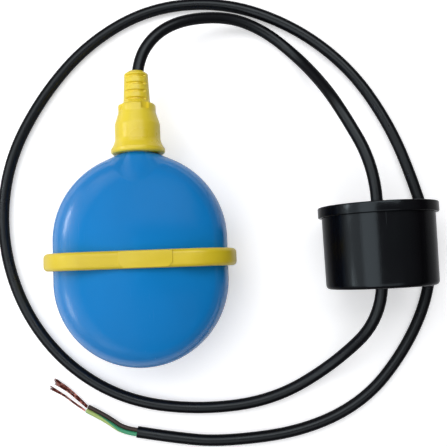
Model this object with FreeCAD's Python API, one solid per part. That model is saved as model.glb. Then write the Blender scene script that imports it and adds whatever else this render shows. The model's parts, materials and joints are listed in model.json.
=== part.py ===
import FreeCAD, Part
import math
import os

# Cable float level switch with its counterweight, lying flat on a bench.
# X runs to the right, Y along the float towards its cable gland, Z up.
# The origin is on the bench, under the middle of the float with its gland.
# Every size is in millimetres.

# ---- clearances ----
FIT = 0.05                      # between two fixed round pieces
RUNNING = 0.35                  # between the rolling ball and the cartridge
CASE_CLEARANCE = 0.2            # between the cartridge and the shell's spigot
COLLAR_INSET = 0.1              # of the cartridge's collar from the spigot's edge
PIN_CLEARANCE = 0.08            # round the lever's pin and the plunger
BENCH_CLEARANCE = 0.1           # under a cable that lies on the bench

# ---- float shell, blow moulded in one piece ----
SHELL_WIDTH = 90.4
SHELL_THICKNESS = 46.0
SHELL_END_SPACING = 20.6        # between the centres of its two round ends
SHELL_EDGE_RADIUS = 14.0
SHELL_SIDE_FLAT = 6.0           # height of the straight side wall
SHELL_WALL = 2.2
NECK_DIAMETER = 25.2
NECK_RISE = 0.2                 # of the neck's shoulder above the round end
NECK_FILLET = 6.0
SPIGOT_DIAMETER = 20.0          # carries the thread of the gland cap
SPIGOT_LENGTH = 14.7
SPIGOT_BORE = 16.6

# ---- band round the middle of the float ----
BAND_HEIGHT = 9.0
BAND_FACE_THICKNESS = 3.0
BAND_SIDE_THICKNESS = 4.6
BAND_CORNER_RADIUS = 23.0
BAND_EDGE_ROUND = 2.2
PLATE_LENGTH = 26.5
PLATE_SHIFT = 1.5               # of its middle from the float's axis
PLATE_RISE = 0.4
PLATE_DEPTH = 2.4               # of its root below the band's face
PLATE_MARGIN = 0.4              # between its long sides and the band's edges
PLATE_END_SLANT = 1.8           # of its two lower corners
PLATE_CHAMFER = 0.3

# ---- gland cap ----
CAP_LENGTH = 44.2
CAP_RIM_DIAMETER = 28.4
CAP_RIM_HEIGHT = 3.0
CAP_RIM_ROUND = 0.8
CAP_FLARE_HEIGHT = 4.4
CAP_FLARE_STEP = 0.7            # more radius half way up the flare
CAP_BARREL_DIAMETER = 23.9
CAP_BARREL_HEIGHT = 8.1
CAP_CONE_HEIGHT = 6.5
CAP_SHOULDER_DIAMETER = 19.8
CAP_SHOULDER_HEIGHT = 4.4
CAP_COLLAR_DIAMETER = 15.2
CAP_COLLAR_HEIGHT = 1.7
CAP_SLEEVE_ROOT_DIAMETER = 13.9
CAP_SLEEVE_TIP_DIAMETER = 12.6
CAP_SLEEVE_CHAMFER = 1.7
CAP_GROOVE_COUNT = 4
CAP_GROOVE_PITCH = 4.1
CAP_GROOVE_WIDTH = 1.1
CAP_GROOVE_DEPTH = 1.0
CAP_GROOVE_REACH = 5.4          # each way across, clear of the mould's seam
CAP_MOUTH_FLARE = 0.9           # wider than the bore, for the bending cable
CAP_MOUTH_DEPTH = 6.0
CAP_NOTCH_COUNT = 4
CAP_NOTCH_TURN = 32.0           # of the first notch from straight up
CAP_NOTCH_WIDTH = 3.9
CAP_NOTCH_HEIGHT = 3.4
CAP_NOTCH_DEPTH = 1.5
CAP_WALL = 2.0

# ---- cable seal ----
WASHER_THICKNESS = 0.8
SEAL_HEIGHT = 6.5
O_RING_SECTION = 1.2
O_RING_LEVEL = 2.4              # above the neck's shoulder

# ---- switch cartridge ----
CASE_COLLAR_THICKNESS = 1.5
CASE_LENGTH = 90.7              # from its closed end to the top of its collar
CASE_END_WALL = 1.5
STOP_RING_THICKNESS = 1.3
STOP_RING_BORE = 10.0
CRADLE_THICKNESS = 1.5
CRADLE_NOTCH = 4.6
CRADLE_GAP = 0.3                # to the lever's ears
BALL_DIAMETER = 12.0
BALL_STOP_GAP = 0.3             # to the stop ring at the end of its travel
BALL_END_GAP = 0.3              # to the closed end of the cartridge at rest

# ---- microswitch, its long side along the cartridge ----
SWITCH_LENGTH = 12.8
SWITCH_WIDTH = 5.8
SWITCH_HEIGHT = 6.5
SWITCH_DROP = 4.6               # of its underside below the cartridge's axis
SWITCH_BASE_HEIGHT = 2.2
SWITCH_WALL = 0.7
SWITCH_DEPTH = 49.2             # its middle's, below the rim of the cartridge's collar
PLUNGER_DIAMETER = 1.8
PLUNGER_STAND = 1.0             # above the switch's top
PLUNGER_LENGTH = 3.1
PLUNGER_COLLAR_DIAMETER = 2.6
PLUNGER_COLLAR_THICKNESS = 0.5
PLUNGER_FROM_HINGE = 5.0
LEVER_WIDTH = 2.8
LEVER_THICKNESS = 0.4
LEVER_GAP = 0.1                 # over the plunger's tip
LEVER_REACH = 15.6              # from its hinge to the tail's outer face
LEVER_TAIL_DROP = 5.6
LEVER_TAIL_TO_BALL = 0.3
HINGE_FROM_END = 1.2
PIN_DIAMETER = 0.8
EYE_DIAMETER = 1.8
EAR_THICKNESS = 1.0
EAR_GAP = 3.2
EAR_LENGTH = 2.0
EAR_HEIGHT = 2.4
TERMINAL_GAP = 0.05             # between an outer terminal and the switch's wall
TERMINAL_WIDTH = 1.2
TERMINAL_THICKNESS = 0.4
TERMINAL_REACH = 3.5
TERMINAL_LEVEL = 1.0            # above the switch's underside
CONTACT_DIAMETER = 1.3
CONTACT_GAP = 0.3
BLADE_THICKNESS = 0.15
BLADE_WIDTH = 1.3
BLADE_LEVEL = 3.6               # above the switch's underside

# ---- cable and its cores ----
CABLE_DIAMETER = 6.2
CABLE_FROM_TIP = 13.0           # start of the free cable, inside the sleeve
CORE_DIAMETER = 2.3
CORE_SPREAD = 0.06              # between two cores side by side
CORE_START = 0.3                # from the cut end of the jacket
CORE_LAY_TURN = 60.0            # of the twisted cores, from one end of the cable to the other
JACKET_DEPTH = 0.3              # of the jacket's end above the spigot's top
CONDUCTOR_DIAMETER = 0.9
STRANDS_DIAMETER = 1.1
BEND_SHARE = 0.45               # of a run, that each of its bends may use
RESIN_FROM_SWITCH = 5.1         # resin starts past the terminals
LEAD_BARE_LENGTH = 4.0

# ---- counterweight, measured along its axis from the lid's outer face ----
WEIGHT_LENGTH = 42.4
WEIGHT_FLANGE_DIAMETER = 61.6
WEIGHT_FLANGE_THICKNESS = 5.5
WEIGHT_FLANGE_ROUND = 1.2
WEIGHT_FLANGE_LIP = 0.6
WEIGHT_BODY_DIAMETER = 58.0
WEIGHT_BODY_DRAFT = 0.4         # less radius at the far end
WEIGHT_BODY_ROUND = 2.0
WEIGHT_WALL = 2.0
WEIGHT_TUBE_DIAMETER = 13.2
WEIGHT_BORE = 8.0
WEIGHT_BORE_FLARE = 1.4         # more radius at the far mouth
WEIGHT_FLARE_LENGTH = 12.1
WEIGHT_FIN_COUNT = 6
WEIGHT_FIN_THICKNESS = 2.0
WEIGHT_FIN_REACH = 22.0         # from the axis to a fin's outer edge
WEIGHT_ANCHOR = (123.6, 1.7)   # middle of the lid's outer face, in X and Y
WEIGHT_LEAN = 0.93              # degrees of its axis from the float's axis
BALLAST_DIAMETER = 52.0
BALLAST_THICKNESS = 16.0
BALLAST_CLEARANCE = 0.4
GRIP_LENGTH = 10.0
GRIP_WALL = 1.2
GRIP_INSET = 1.0
GRIP_CLEARANCE = 0.3

Vec = FreeCAD.Vector
AXIS_HEIGHT = SHELL_THICKNESS / 2 + BAND_FACE_THICKNESS
SHELL_RADIUS = SHELL_WIDTH / 2
FLOAT_LENGTH = SHELL_WIDTH + SHELL_END_SPACING + NECK_RISE + CAP_LENGTH
LOWER_CENTRE = SHELL_RADIUS - FLOAT_LENGTH / 2
UPPER_CENTRE = LOWER_CENTRE + SHELL_END_SPACING
BAND_MIDDLE = (LOWER_CENTRE + UPPER_CENTRE) / 2
SHOULDER = UPPER_CENTRE + SHELL_RADIUS + NECK_RISE
SPIGOT_TOP = SHOULDER + SPIGOT_LENGTH
CASE_DIAMETER = SPIGOT_BORE - 2 * CASE_CLEARANCE
CASE_COLLAR_DIAMETER = SPIGOT_DIAMETER - 2 * COLLAR_INSET
CASE_BORE = BALL_DIAMETER + 2 * RUNNING
CASE_TOP = SPIGOT_TOP + CASE_COLLAR_THICKNESS
CASE_BOTTOM = CASE_TOP - CASE_LENGTH
SWITCH_MIDDLE = CASE_TOP - SWITCH_DEPTH
SEAL_BOTTOM = CASE_TOP + WASHER_THICKNESS
SEAL_TOP = SEAL_BOTTOM + SEAL_HEIGHT
CAP_TIP = SHOULDER + CAP_LENGTH
CABLE_RADIUS = CABLE_DIAMETER / 2
CABLE_LEVEL = CABLE_RADIUS + BENCH_CLEARANCE
CABLE_START = CAP_TIP - CABLE_FROM_TIP
JACKET_END = SPIGOT_TOP + JACKET_DEPTH
RESIN_BOTTOM = SWITCH_MIDDLE + SWITCH_LENGTH / 2 + RESIN_FROM_SWITCH
SWITCH_BOTTOM = AXIS_HEIGHT - SWITCH_DROP
SWITCH_TOP = SWITCH_BOTTOM + SWITCH_HEIGHT
TERMINAL_PITCH = SWITCH_WIDTH / 2 - SWITCH_WALL - TERMINAL_GAP - TERMINAL_WIDTH / 2
SWITCH_FRONT = SWITCH_MIDDLE - SWITCH_LENGTH / 2
SWITCH_BACK = SWITCH_MIDDLE + SWITCH_LENGTH / 2
HINGE_Y = SWITCH_BACK - HINGE_FROM_END
LEVER_UNDERSIDE = SWITCH_TOP + PLUNGER_STAND + LEVER_GAP
HINGE_Z = LEVER_UNDERSIDE + LEVER_THICKNESS / 2
PLUNGER_Y = HINGE_Y - PLUNGER_FROM_HINGE
TAIL_FACE = HINGE_Y - LEVER_REACH
BALL_START = CASE_BOTTOM + CASE_END_WALL + BALL_END_GAP + BALL_DIAMETER / 2
BALL_TRAVEL = TAIL_FACE - LEVER_TAIL_TO_BALL - BALL_DIAMETER / 2 - BALL_START

# Route of the free cable: from inside the gland's sleeve, down to the bench,
# up through the counterweight, once round the float and under the weight's
# overhang to the stripped end. WEIGHT_IN and WEIGHT_OUT are on its axis.
CABLE_PAST_TIP = 3.5
WEIGHT_IN = -20.5
WEIGHT_OUT = 57.5
ROUTE_TO_WEIGHT = [
    (0.0, CAP_TIP + CABLE_PAST_TIP, AXIS_HEIGHT), (9.4, 97.6, 24.5), (25.5, 107.5, 19.5),
    (50.5, 111.8, 9.0), (70.4, 105.1, CABLE_LEVEL), (87.3, 90.4, CABLE_LEVEL),
    (98.7, 72.8, 15.0), (107.0, 54.8, 27.5),
]
ROUTE_DOWN = (99.8, -83.2, 7.5)
ROUTE_ON_BENCH = [
    (66.6, -101.4), (25.6, -105.0), (-14.3, -98.2), (-47.2, -76.9), (-69.9, -44.7),
    (-80.0, -5.6), (-75.7, 34.4), (-56.9, 70.2), (-29.6, 101.0), (6.6, 120.6),
    (48.6, 122.3), (87.0, 107.4), (118.2, 81.7), (139.4, 47.5), (151.6, 12.4),
    (158.9, -18.7), (155.1, -48.7), (140.3, -77.5), (117.6, -103.3), (83.5, -118.5),
    (38.4, -122.6), (12.5, -119.4), (-7.4, -115.6),
]

# Middle line of the three bared cores, from the jacket's cut end.
CORE_ROUTE = [
    ROUTE_ON_BENCH[-1], (-15.0, -114.4), (-21.9, -109.3), (-28.4, -105.3), (-34.5, -102.0),
]
STRANDS_ROUTES = {
    "strands_brown": [
        (-34.4, -100.9, 3.2), (-40.8, -94.6, 2.1), (-47.3, -89.2, 1.2), (-52.1, -86.2, 1.6)],
    "strands_black": [
        (-35.0, -101.8, 1.2), (-41.3, -96.1, 0.9), (-48.2, -90.4, 0.8), (-51.7, -88.2, 0.8)],
    "strands_earth": [
        (-35.6, -103.2, 3.2), (-42.7, -98.5, 1.9), (-48.7, -93.7, 0.9), (-53.7, -90.8, 0.8)],
}


def box(x_span, y_span, z_span):
    """A block between two places on each axis."""
    low = Vec(x_span[0], y_span[0], z_span[0])
    size = (x_span[1] - x_span[0], y_span[1] - y_span[0], z_span[1] - z_span[0])
    return Part.makeBox(size[0], size[1], size[2], low)


def rod(radius, start, end):
    """A round bar between two points."""
    path = Vec(*end) - Vec(*start)
    return Part.makeCylinder(radius, path.Length, Vec(*start), path)


def lathe(outline):
    """Turn an outline of (radius, level) corners about the Z axis."""
    corners = [Vec(radius, 0, level) for radius, level in outline]
    face = Part.Face(Part.makePolygon(corners + corners[:1]))
    return face.revolve(Vec(0, 0, 0), Vec(0, 0, 1), 360)


def on_float_axis(shape):
    """Lay a shape turned about Z along the float's axis, level for level."""
    laid = shape.copy()
    turned = FreeCAD.Rotation(Vec(1, 0, 0), -90)
    laid.Placement = FreeCAD.Placement(Vec(0, 0, AXIS_HEIGHT), turned)
    return laid


def tube_on_axis(inner, outer, start, end):
    """A plain ring round the float's axis, between two places on Y."""
    return on_float_axis(lathe([(inner, start), (outer, start), (outer, end), (inner, end)]))


def bar_on_axis(radius, start, end):
    """A plain bar on the float's axis."""
    return rod(radius, (0, start, AXIS_HEIGHT), (0, end, AXIS_HEIGHT))


# ---- float shell ----

def section_edges(half_width, half_thickness, edge_radius):
    """Half of the float's section: crowned faces, rounded edges, straight side.

    The crown's radius follows from its meeting the rounded edge smoothly.
    """
    side = SHELL_SIDE_FLAT / 2
    centre_x = half_width - edge_radius
    drop = half_thickness - side
    crown = (centre_x ** 2 + drop ** 2 - edge_radius ** 2) / (2 * (drop - edge_radius))
    crown_z = half_thickness - crown
    angle = math.atan2(centre_x, side - crown_z)
    edges = []
    for up in (1, -1):
        top = Vec(0, 0, up * half_thickness)
        on_crown = Vec(crown * math.sin(angle / 2), 0, up * (crown_z + crown * math.cos(angle / 2)))
        join = Vec(crown * math.sin(angle), 0, up * (crown_z + crown * math.cos(angle)))
        slope = (angle + math.pi / 2) / 2
        on_edge = Vec(centre_x + edge_radius * math.sin(slope), 0,
                      up * (side + edge_radius * math.cos(slope)))
        side_end = Vec(half_width, 0, up * side)
        crown_arc = Part.Arc(top, on_crown, join).toShape()
        edges.append([crown_arc, Part.Arc(join, on_edge, side_end).toShape()])
    side_wall = Part.LineSegment(Vec(half_width, 0, side), Vec(half_width, 0, -side)).toShape()
    closing = Part.LineSegment(Vec(0, 0, -half_thickness), Vec(0, 0, half_thickness)).toShape()
    return edges[0] + [side_wall] + edges[1][::-1] + [closing]


def turned_about_up(place_y, turn):
    """The placement of a section turned about Z, at a place on the float's axis."""
    return FreeCAD.Placement(Vec(0, place_y, AXIS_HEIGHT), FreeCAD.Rotation(Vec(0, 0, 1), turn))


def stadium(inset):
    """The float's rounded form, smaller all round by an inset."""
    edges = section_edges(SHELL_RADIUS - inset, SHELL_THICKNESS / 2 - inset,
                          SHELL_EDGE_RADIUS - inset)
    half = Part.Face(Part.Wire(edges))
    pieces = []
    for centre, turn in ((LOWER_CENTRE, 180), (UPPER_CENTRE, 0)):
        end = half.revolve(Vec(0, 0, 0), Vec(0, 0, 1), 180)
        end.Placement = turned_about_up(centre, turn)
        side = half.copy()
        side.Placement = turned_about_up(LOWER_CENTRE, turn)
        pieces += [end, side.extrude(Vec(0, SHELL_END_SPACING, 0))]
    return pieces[0].multiFuse(pieces[1:]).removeSplitter()


def make_float_shell():
    """Hollow rounded float with a filleted neck and a spigot for the gland cap."""
    body = stadium(0).fuse(bar_on_axis(NECK_DIAMETER / 2, UPPER_CENTRE, SPIGOT_TOP))
    body = body.makeFillet(NECK_FILLET, [edge for edge in body.Edges if is_neck_root(edge)])
    body = body.cut(tube_on_axis(SPIGOT_DIAMETER / 2, NECK_DIAMETER, SHOULDER, SPIGOT_TOP + FIT))
    groove_middle = SHOULDER + O_RING_LEVEL
    groove = tube_on_axis(SPIGOT_DIAMETER / 2 - O_RING_SECTION + FIT, SPIGOT_DIAMETER,
                          groove_middle - O_RING_SECTION / 2 - FIT,
                          groove_middle + O_RING_SECTION / 2 + FIT)
    bore = bar_on_axis(SPIGOT_BORE / 2, UPPER_CENTRE, SPIGOT_TOP)
    return body.cut(stadium(SHELL_WALL)).cut(bore).cut(groove)


def is_neck_root(edge):
    """True for an edge where the neck leaves the rounded end."""
    if edge.Degenerated:
        return False
    middle = edge.valueAt((edge.FirstParameter + edge.LastParameter) / 2)
    from_axis = math.hypot(middle.x, middle.z - AXIS_HEIGHT)
    on_neck = abs(from_axis - NECK_DIAMETER / 2) < FIT
    below_shoulder = UPPER_CENTRE + SHELL_EDGE_RADIUS < middle.y < SHOULDER - FIT
    return on_neck and below_shoulder and edge.BoundBox.YLength < NECK_RISE * 2


def make_float_band():
    """Ring round the float, flat where it rests, with a bare plate on top."""
    half_length = SHELL_RADIUS + BAND_SIDE_THICKNESS
    low = BAND_MIDDLE - BAND_HEIGHT / 2
    high = BAND_MIDDLE + BAND_HEIGHT / 2
    ring = box((-half_length, half_length), (low, high), (0, 2 * AXIS_HEIGHT))
    corners = [edge for edge in ring.Edges if edge.BoundBox.YLength > BAND_HEIGHT / 2]
    ring = ring.makeFillet(BAND_CORNER_RADIUS, corners)
    rims = [edge for edge in ring.Edges if abs(edge.BoundBox.YLength) < FIT]
    ring = ring.makeFillet(BAND_EDGE_ROUND, rims)
    top = 2 * AXIS_HEIGHT
    root = top - PLATE_DEPTH
    left = PLATE_SHIFT - PLATE_LENGTH / 2
    right = PLATE_SHIFT + PLATE_LENGTH / 2
    bottom = low + PLATE_MARGIN
    outline = [
        Vec(left, high - PLATE_MARGIN, root), Vec(left, bottom + PLATE_END_SLANT, root),
        Vec(left + PLATE_END_SLANT, bottom, root), Vec(right - PLATE_END_SLANT, bottom, root),
        Vec(right, bottom + PLATE_END_SLANT, root), Vec(right, high - PLATE_MARGIN, root),
    ]
    plate = Part.Face(Part.makePolygon(outline + outline[:1]))
    plate = plate.extrude(Vec(0, 0, PLATE_DEPTH + PLATE_RISE))
    upper = [edge for edge in plate.Edges if edge.BoundBox.ZMin > top + PLATE_RISE - FIT]
    plate = plate.makeChamfer(PLATE_CHAMFER, upper)
    return ring.fuse(plate).cut(stadium(-FIT))


# ---- gland ----

def cap_levels():
    """Where the gland cap's outer form changes, on Y."""
    rim = SHOULDER + CAP_RIM_HEIGHT
    flare = rim + CAP_FLARE_HEIGHT
    barrel = flare + CAP_BARREL_HEIGHT
    cone = barrel + CAP_CONE_HEIGHT
    shoulder = cone + CAP_SHOULDER_HEIGHT
    collar = shoulder + CAP_COLLAR_HEIGHT
    return rim, flare, barrel, cone, shoulder, collar


def seal_outline(grow):
    """The rubber seal's outer corners, wider by a clearance."""
    barrel = cap_levels()[2]
    cone = cap_levels()[3]
    wide = CAP_BARREL_DIAMETER / 2 - CAP_WALL
    slim = CAP_SHOULDER_DIAMETER / 2 - CAP_WALL
    slope = (wide - slim) / (cone - barrel)
    at_bottom = min(wide - slope * (SEAL_BOTTOM - barrel), wide)
    return [(at_bottom + grow, SEAL_BOTTOM), (slim + grow, cone), (slim + grow, SEAL_TOP)]


def make_gland_cap():
    """Grooved strain relief on a notched cap that screws on the neck."""
    rim, flare, barrel, cone, shoulder, collar = cap_levels()
    rim_r = CAP_RIM_DIAMETER / 2
    barrel_r = CAP_BARREL_DIAMETER / 2
    shoulder_r = CAP_SHOULDER_DIAMETER / 2
    root_r = CAP_SLEEVE_ROOT_DIAMETER / 2
    tip_r = CAP_SLEEVE_TIP_DIAMETER / 2
    bore_r = CABLE_RADIUS + FIT
    thread_r = SPIGOT_DIAMETER / 2 + 2 * FIT
    outline = [
        (thread_r, SHOULDER), (rim_r - CAP_RIM_ROUND, SHOULDER), (rim_r, SHOULDER + CAP_RIM_ROUND),
        (rim_r, rim - CAP_RIM_ROUND / 2), (rim_r - CAP_RIM_ROUND / 2, rim),
        (barrel_r + CAP_FLARE_STEP, (rim + flare) / 2), (barrel_r, flare),
        (barrel_r, barrel), (shoulder_r, cone), (shoulder_r, shoulder - CAP_RIM_ROUND),
        (shoulder_r - CAP_RIM_ROUND, shoulder), (CAP_COLLAR_DIAMETER / 2, shoulder),
        (root_r, collar),
        (tip_r, CAP_TIP - CAP_SLEEVE_CHAMFER), (bore_r + CAP_MOUTH_FLARE, CAP_TIP),
        (bore_r, CAP_TIP - CAP_MOUTH_DEPTH), (bore_r, SEAL_TOP),
    ]
    seal = seal_outline(FIT)
    outline += [seal[2], seal[1], seal[0], (thread_r, SEAL_BOTTOM)]
    cap = on_float_axis(lathe(outline))
    for index in range(CAP_GROOVE_COUNT):
        middle = collar + CAP_GROOVE_WIDTH / 2 + index * CAP_GROOVE_PITCH
        share = (middle - collar) / (CAP_TIP - CAP_SLEEVE_CHAMFER - collar)
        surface = root_r + (tip_r - root_r) * share
        span = (middle - CAP_GROOVE_WIDTH / 2, middle + CAP_GROOVE_WIDTH / 2)
        ring = tube_on_axis(surface - CAP_GROOVE_DEPTH, surface + CAP_GROOVE_DEPTH, *span)
        reach = box((-CAP_GROOVE_REACH, CAP_GROOVE_REACH), span, (0, 2 * AXIS_HEIGHT))
        cap = cap.cut(ring.common(reach))
    for index in range(CAP_NOTCH_COUNT):
        notch = box((-CAP_NOTCH_WIDTH / 2, CAP_NOTCH_WIDTH / 2),
                    (shoulder - CAP_NOTCH_HEIGHT, shoulder + FIT),
                    (shoulder_r - CAP_NOTCH_DEPTH, shoulder_r + CAP_NOTCH_DEPTH))
        notch.translate(Vec(0, 0, AXIS_HEIGHT))
        turn = CAP_NOTCH_TURN + 360 / CAP_NOTCH_COUNT * index
        notch.rotate(Vec(0, 0, AXIS_HEIGHT), Vec(0, 1, 0), turn)
        cap = cap.cut(notch)
    return cap


def make_cable_seal():
    """Tapered rubber sleeve squeezed on the jacket by the cap."""
    outer = seal_outline(0)
    inner = CABLE_RADIUS + FIT
    return on_float_axis(lathe([(inner, SEAL_BOTTOM)] + outer + [(inner, SEAL_TOP)]))


def make_thrust_washer():
    """Flat ring between the seal and the cartridge's collar."""
    outer = CASE_COLLAR_DIAMETER / 2 - COLLAR_INSET
    return tube_on_axis(CABLE_RADIUS + COLLAR_INSET, outer, CASE_TOP, SEAL_BOTTOM)


def make_neck_o_ring():
    """Round-section seal ring in the spigot's groove."""
    radius = SPIGOT_DIAMETER / 2 + FIT - O_RING_SECTION / 2
    middle = Vec(0, SHOULDER + O_RING_LEVEL, AXIS_HEIGHT)
    return Part.makeTorus(radius, O_RING_SECTION / 2 - FIT, middle, Vec(0, 1, 0))


# ---- switch cartridge ----

def case_half(upper):
    """One half of the cartridge, split on the float's middle plane."""
    bore = CASE_BORE / 2
    stop_bottom = BALL_START + BALL_TRAVEL + stop_offset()
    outline = [
        (0, CASE_BOTTOM), (CASE_DIAMETER / 2, CASE_BOTTOM), (CASE_DIAMETER / 2, SPIGOT_TOP),
        (CASE_COLLAR_DIAMETER / 2, SPIGOT_TOP), (CASE_COLLAR_DIAMETER / 2, CASE_TOP), (bore, CASE_TOP),
        (bore, stop_bottom + STOP_RING_THICKNESS),
        (STOP_RING_BORE / 2, stop_bottom + STOP_RING_THICKNESS), (STOP_RING_BORE / 2, stop_bottom),
        (bore, stop_bottom), (bore, CASE_BOTTOM + CASE_END_WALL), (0, CASE_BOTTOM + CASE_END_WALL),
    ]
    whole = on_float_axis(lathe(outline))
    before_ears = HINGE_Y - EAR_LENGTH / 2 - CRADLE_GAP - CRADLE_THICKNESS
    for start in (SWITCH_FRONT + CRADLE_THICKNESS, before_ears):
        whole = whole.fuse(cradle(start))
    reach = SPIGOT_DIAMETER
    heights = (AXIS_HEIGHT, AXIS_HEIGHT + reach) if upper else (AXIS_HEIGHT - reach, AXIS_HEIGHT)
    return whole.common(box((-reach, reach), (CASE_BOTTOM - reach, CASE_TOP + reach), heights))


def stop_offset():
    """How far along the axis the stopped ball's middle is from the stop ring."""
    reach = BALL_DIAMETER / 2 + BALL_STOP_GAP
    return math.sqrt(reach ** 2 - (STOP_RING_BORE / 2) ** 2)


def cradle(start):
    """A rib that fills the bore round the switch, open above it for the lever."""
    rib = bar_on_axis(CASE_BORE / 2 + FIT, start, start + CRADLE_THICKNESS)
    half = SWITCH_WIDTH / 2
    span = (start - FIT, start + CRADLE_THICKNESS + FIT)
    rib = rib.cut(box((-half, half), span, (SWITCH_BOTTOM, SWITCH_TOP)))
    slot = CRADLE_NOTCH / 2
    return rib.cut(box((-slot, slot), span, (SWITCH_TOP - FIT, AXIS_HEIGHT + CASE_BORE)))


def make_steel_ball():
    """Ball that rolls along the cartridge when the float tips."""
    return Part.makeSphere(BALL_DIAMETER / 2, Vec(0, BALL_START, AXIS_HEIGHT))


def switch_hollow(low, high):
    """The room inside the microswitch's walls, between two heights."""
    half = SWITCH_WIDTH / 2 - SWITCH_WALL
    ends = (SWITCH_FRONT + SWITCH_WALL, SWITCH_BACK - SWITCH_WALL)
    return box((-half, half), ends, (low, high))


def make_switch_base():
    """Lower tray of the microswitch, with slots for its terminals."""
    half = SWITCH_WIDTH / 2
    top = SWITCH_BOTTOM + SWITCH_BASE_HEIGHT
    tray = box((-half, half), (SWITCH_FRONT, SWITCH_BACK), (SWITCH_BOTTOM, top))
    tray = tray.cut(switch_hollow(SWITCH_BOTTOM + SWITCH_WALL, top))
    for column in (-1, 0, 1):
        tray = tray.cut(terminal_strip(column, SWITCH_BACK - SWITCH_WALL))
    return tray


def make_switch_cover():
    """Upper part of the microswitch with the plunger's hole and the lever's ears."""
    half = SWITCH_WIDTH / 2
    bottom = SWITCH_BOTTOM + SWITCH_BASE_HEIGHT
    cover = box((-half, half), (SWITCH_FRONT, SWITCH_BACK), (bottom, SWITCH_TOP))
    cover = cover.cut(switch_hollow(bottom, SWITCH_TOP - SWITCH_WALL))
    hole = PLUNGER_DIAMETER / 2 + PIN_CLEARANCE
    cover = cover.cut(rod(hole, (0, PLUNGER_Y, bottom), (0, PLUNGER_Y, SWITCH_TOP + PLUNGER_STAND)))
    for side in (-1, 1):
        near = side * EAR_GAP / 2
        far = side * (EAR_GAP / 2 + EAR_THICKNESS)
        ear = box((min(near, far), max(near, far)),
                  (HINGE_Y - EAR_LENGTH / 2, HINGE_Y + EAR_LENGTH / 2),
                  (SWITCH_TOP - FIT, SWITCH_TOP + EAR_HEIGHT))
        cover = cover.fuse(ear)
    return cover.cut(pin_bar(PIN_DIAMETER / 2))


def pin_bar(radius):
    """The hinge pin's bar, out to the outer faces of the ears."""
    reach = EAR_GAP / 2 + EAR_THICKNESS
    return rod(radius, (-reach, HINGE_Y, HINGE_Z), (reach, HINGE_Y, HINGE_Z))


def make_plunger():
    """Round button with a retaining collar inside the cover."""
    tip = SWITCH_TOP + PLUNGER_STAND
    stem = rod(PLUNGER_DIAMETER / 2, (0, PLUNGER_Y, tip - PLUNGER_LENGTH), (0, PLUNGER_Y, tip))
    collar_top = SWITCH_TOP - SWITCH_WALL - LEVER_GAP
    collar = rod(PLUNGER_COLLAR_DIAMETER / 2, (0, PLUNGER_Y, collar_top - PLUNGER_COLLAR_THICKNESS),
                 (0, PLUNGER_Y, collar_top))
    return stem.fuse(collar)


def make_lever():
    """Bent strip on the pin: it crosses the ball's path and lies over the plunger."""
    half = LEVER_WIDTH / 2
    eye = rod(EYE_DIAMETER / 2, (-half, HINGE_Y, HINGE_Z), (half, HINGE_Y, HINGE_Z))
    arm = box((-half, half), (TAIL_FACE, HINGE_Y),
              (LEVER_UNDERSIDE, LEVER_UNDERSIDE + LEVER_THICKNESS))
    tail = box((-half, half), (TAIL_FACE, TAIL_FACE + LEVER_THICKNESS),
               (LEVER_UNDERSIDE - LEVER_TAIL_DROP, LEVER_UNDERSIDE + LEVER_THICKNESS))
    return eye.fuse(arm).fuse(tail).cut(pin_bar(PIN_DIAMETER / 2 + PIN_CLEARANCE))


def terminal_strip(column, start):
    """A flat terminal tab through the back wall of the switch."""
    middle = column * TERMINAL_PITCH
    level = SWITCH_BOTTOM + TERMINAL_LEVEL
    return box((middle - TERMINAL_WIDTH / 2, middle + TERMINAL_WIDTH / 2),
               (start, SWITCH_BACK + TERMINAL_REACH), (level, level + TERMINAL_THICKNESS))


def contact_y():
    """Place of the contacts, near the front wall."""
    return SWITCH_FRONT + SWITCH_WALL + CONTACT_DIAMETER


def make_terminal_common():
    """Middle terminal with the post that carries the moving blade."""
    post_y = SWITCH_BACK - SWITCH_WALL - CONTACT_DIAMETER
    level = SWITCH_BOTTOM + TERMINAL_LEVEL
    post = box((-TERMINAL_WIDTH / 2, TERMINAL_WIDTH / 2), (post_y, post_y + TERMINAL_THICKNESS),
               (level, SWITCH_BOTTOM + BLADE_LEVEL))
    return terminal_strip(0, post_y).fuse(post)


def make_terminal_open():
    """Terminal whose contact waits under the blade's tip."""
    start = contact_y() - CONTACT_DIAMETER / 2
    level = SWITCH_BOTTOM + TERMINAL_LEVEL
    bridge = box((-TERMINAL_PITCH - TERMINAL_WIDTH / 2, TERMINAL_WIDTH / 2),
                 (start, start + CONTACT_DIAMETER), (level, level + TERMINAL_THICKNESS))
    contact = rod(CONTACT_DIAMETER / 2, (0, contact_y(), level),
                  (0, contact_y(), SWITCH_BOTTOM + BLADE_LEVEL - BLADE_THICKNESS - CONTACT_GAP))
    return terminal_strip(-1, start).fuse(bridge).fuse(contact)


def make_terminal_closed():
    """Terminal whose arm reaches over the blade's tip and touches it at rest."""
    start = contact_y() - CONTACT_DIAMETER / 2
    level = SWITCH_BOTTOM + TERMINAL_LEVEL
    arm_level = SWITCH_BOTTOM + BLADE_LEVEL + BLADE_THICKNESS
    inner = TERMINAL_PITCH + TERMINAL_WIDTH / 2
    post = box((inner - TERMINAL_THICKNESS, inner), (start, start + CONTACT_DIAMETER),
               (level, arm_level + TERMINAL_THICKNESS))
    arm = box((-TERMINAL_WIDTH / 2, inner), (start, start + CONTACT_DIAMETER),
              (arm_level, arm_level + TERMINAL_THICKNESS))
    return terminal_strip(1, start).fuse(post).fuse(arm)


def make_contact_blade():
    """Moving spring blade with its contact, on the common terminal's post."""
    back = SWITCH_BACK - SWITCH_WALL - CONTACT_DIAMETER + TERMINAL_THICKNESS
    front = contact_y() - CONTACT_DIAMETER / 2
    level = SWITCH_BOTTOM + BLADE_LEVEL
    return box((-BLADE_WIDTH / 2, BLADE_WIDTH / 2), (front, back), (level, level + BLADE_THICKNESS))


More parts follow.
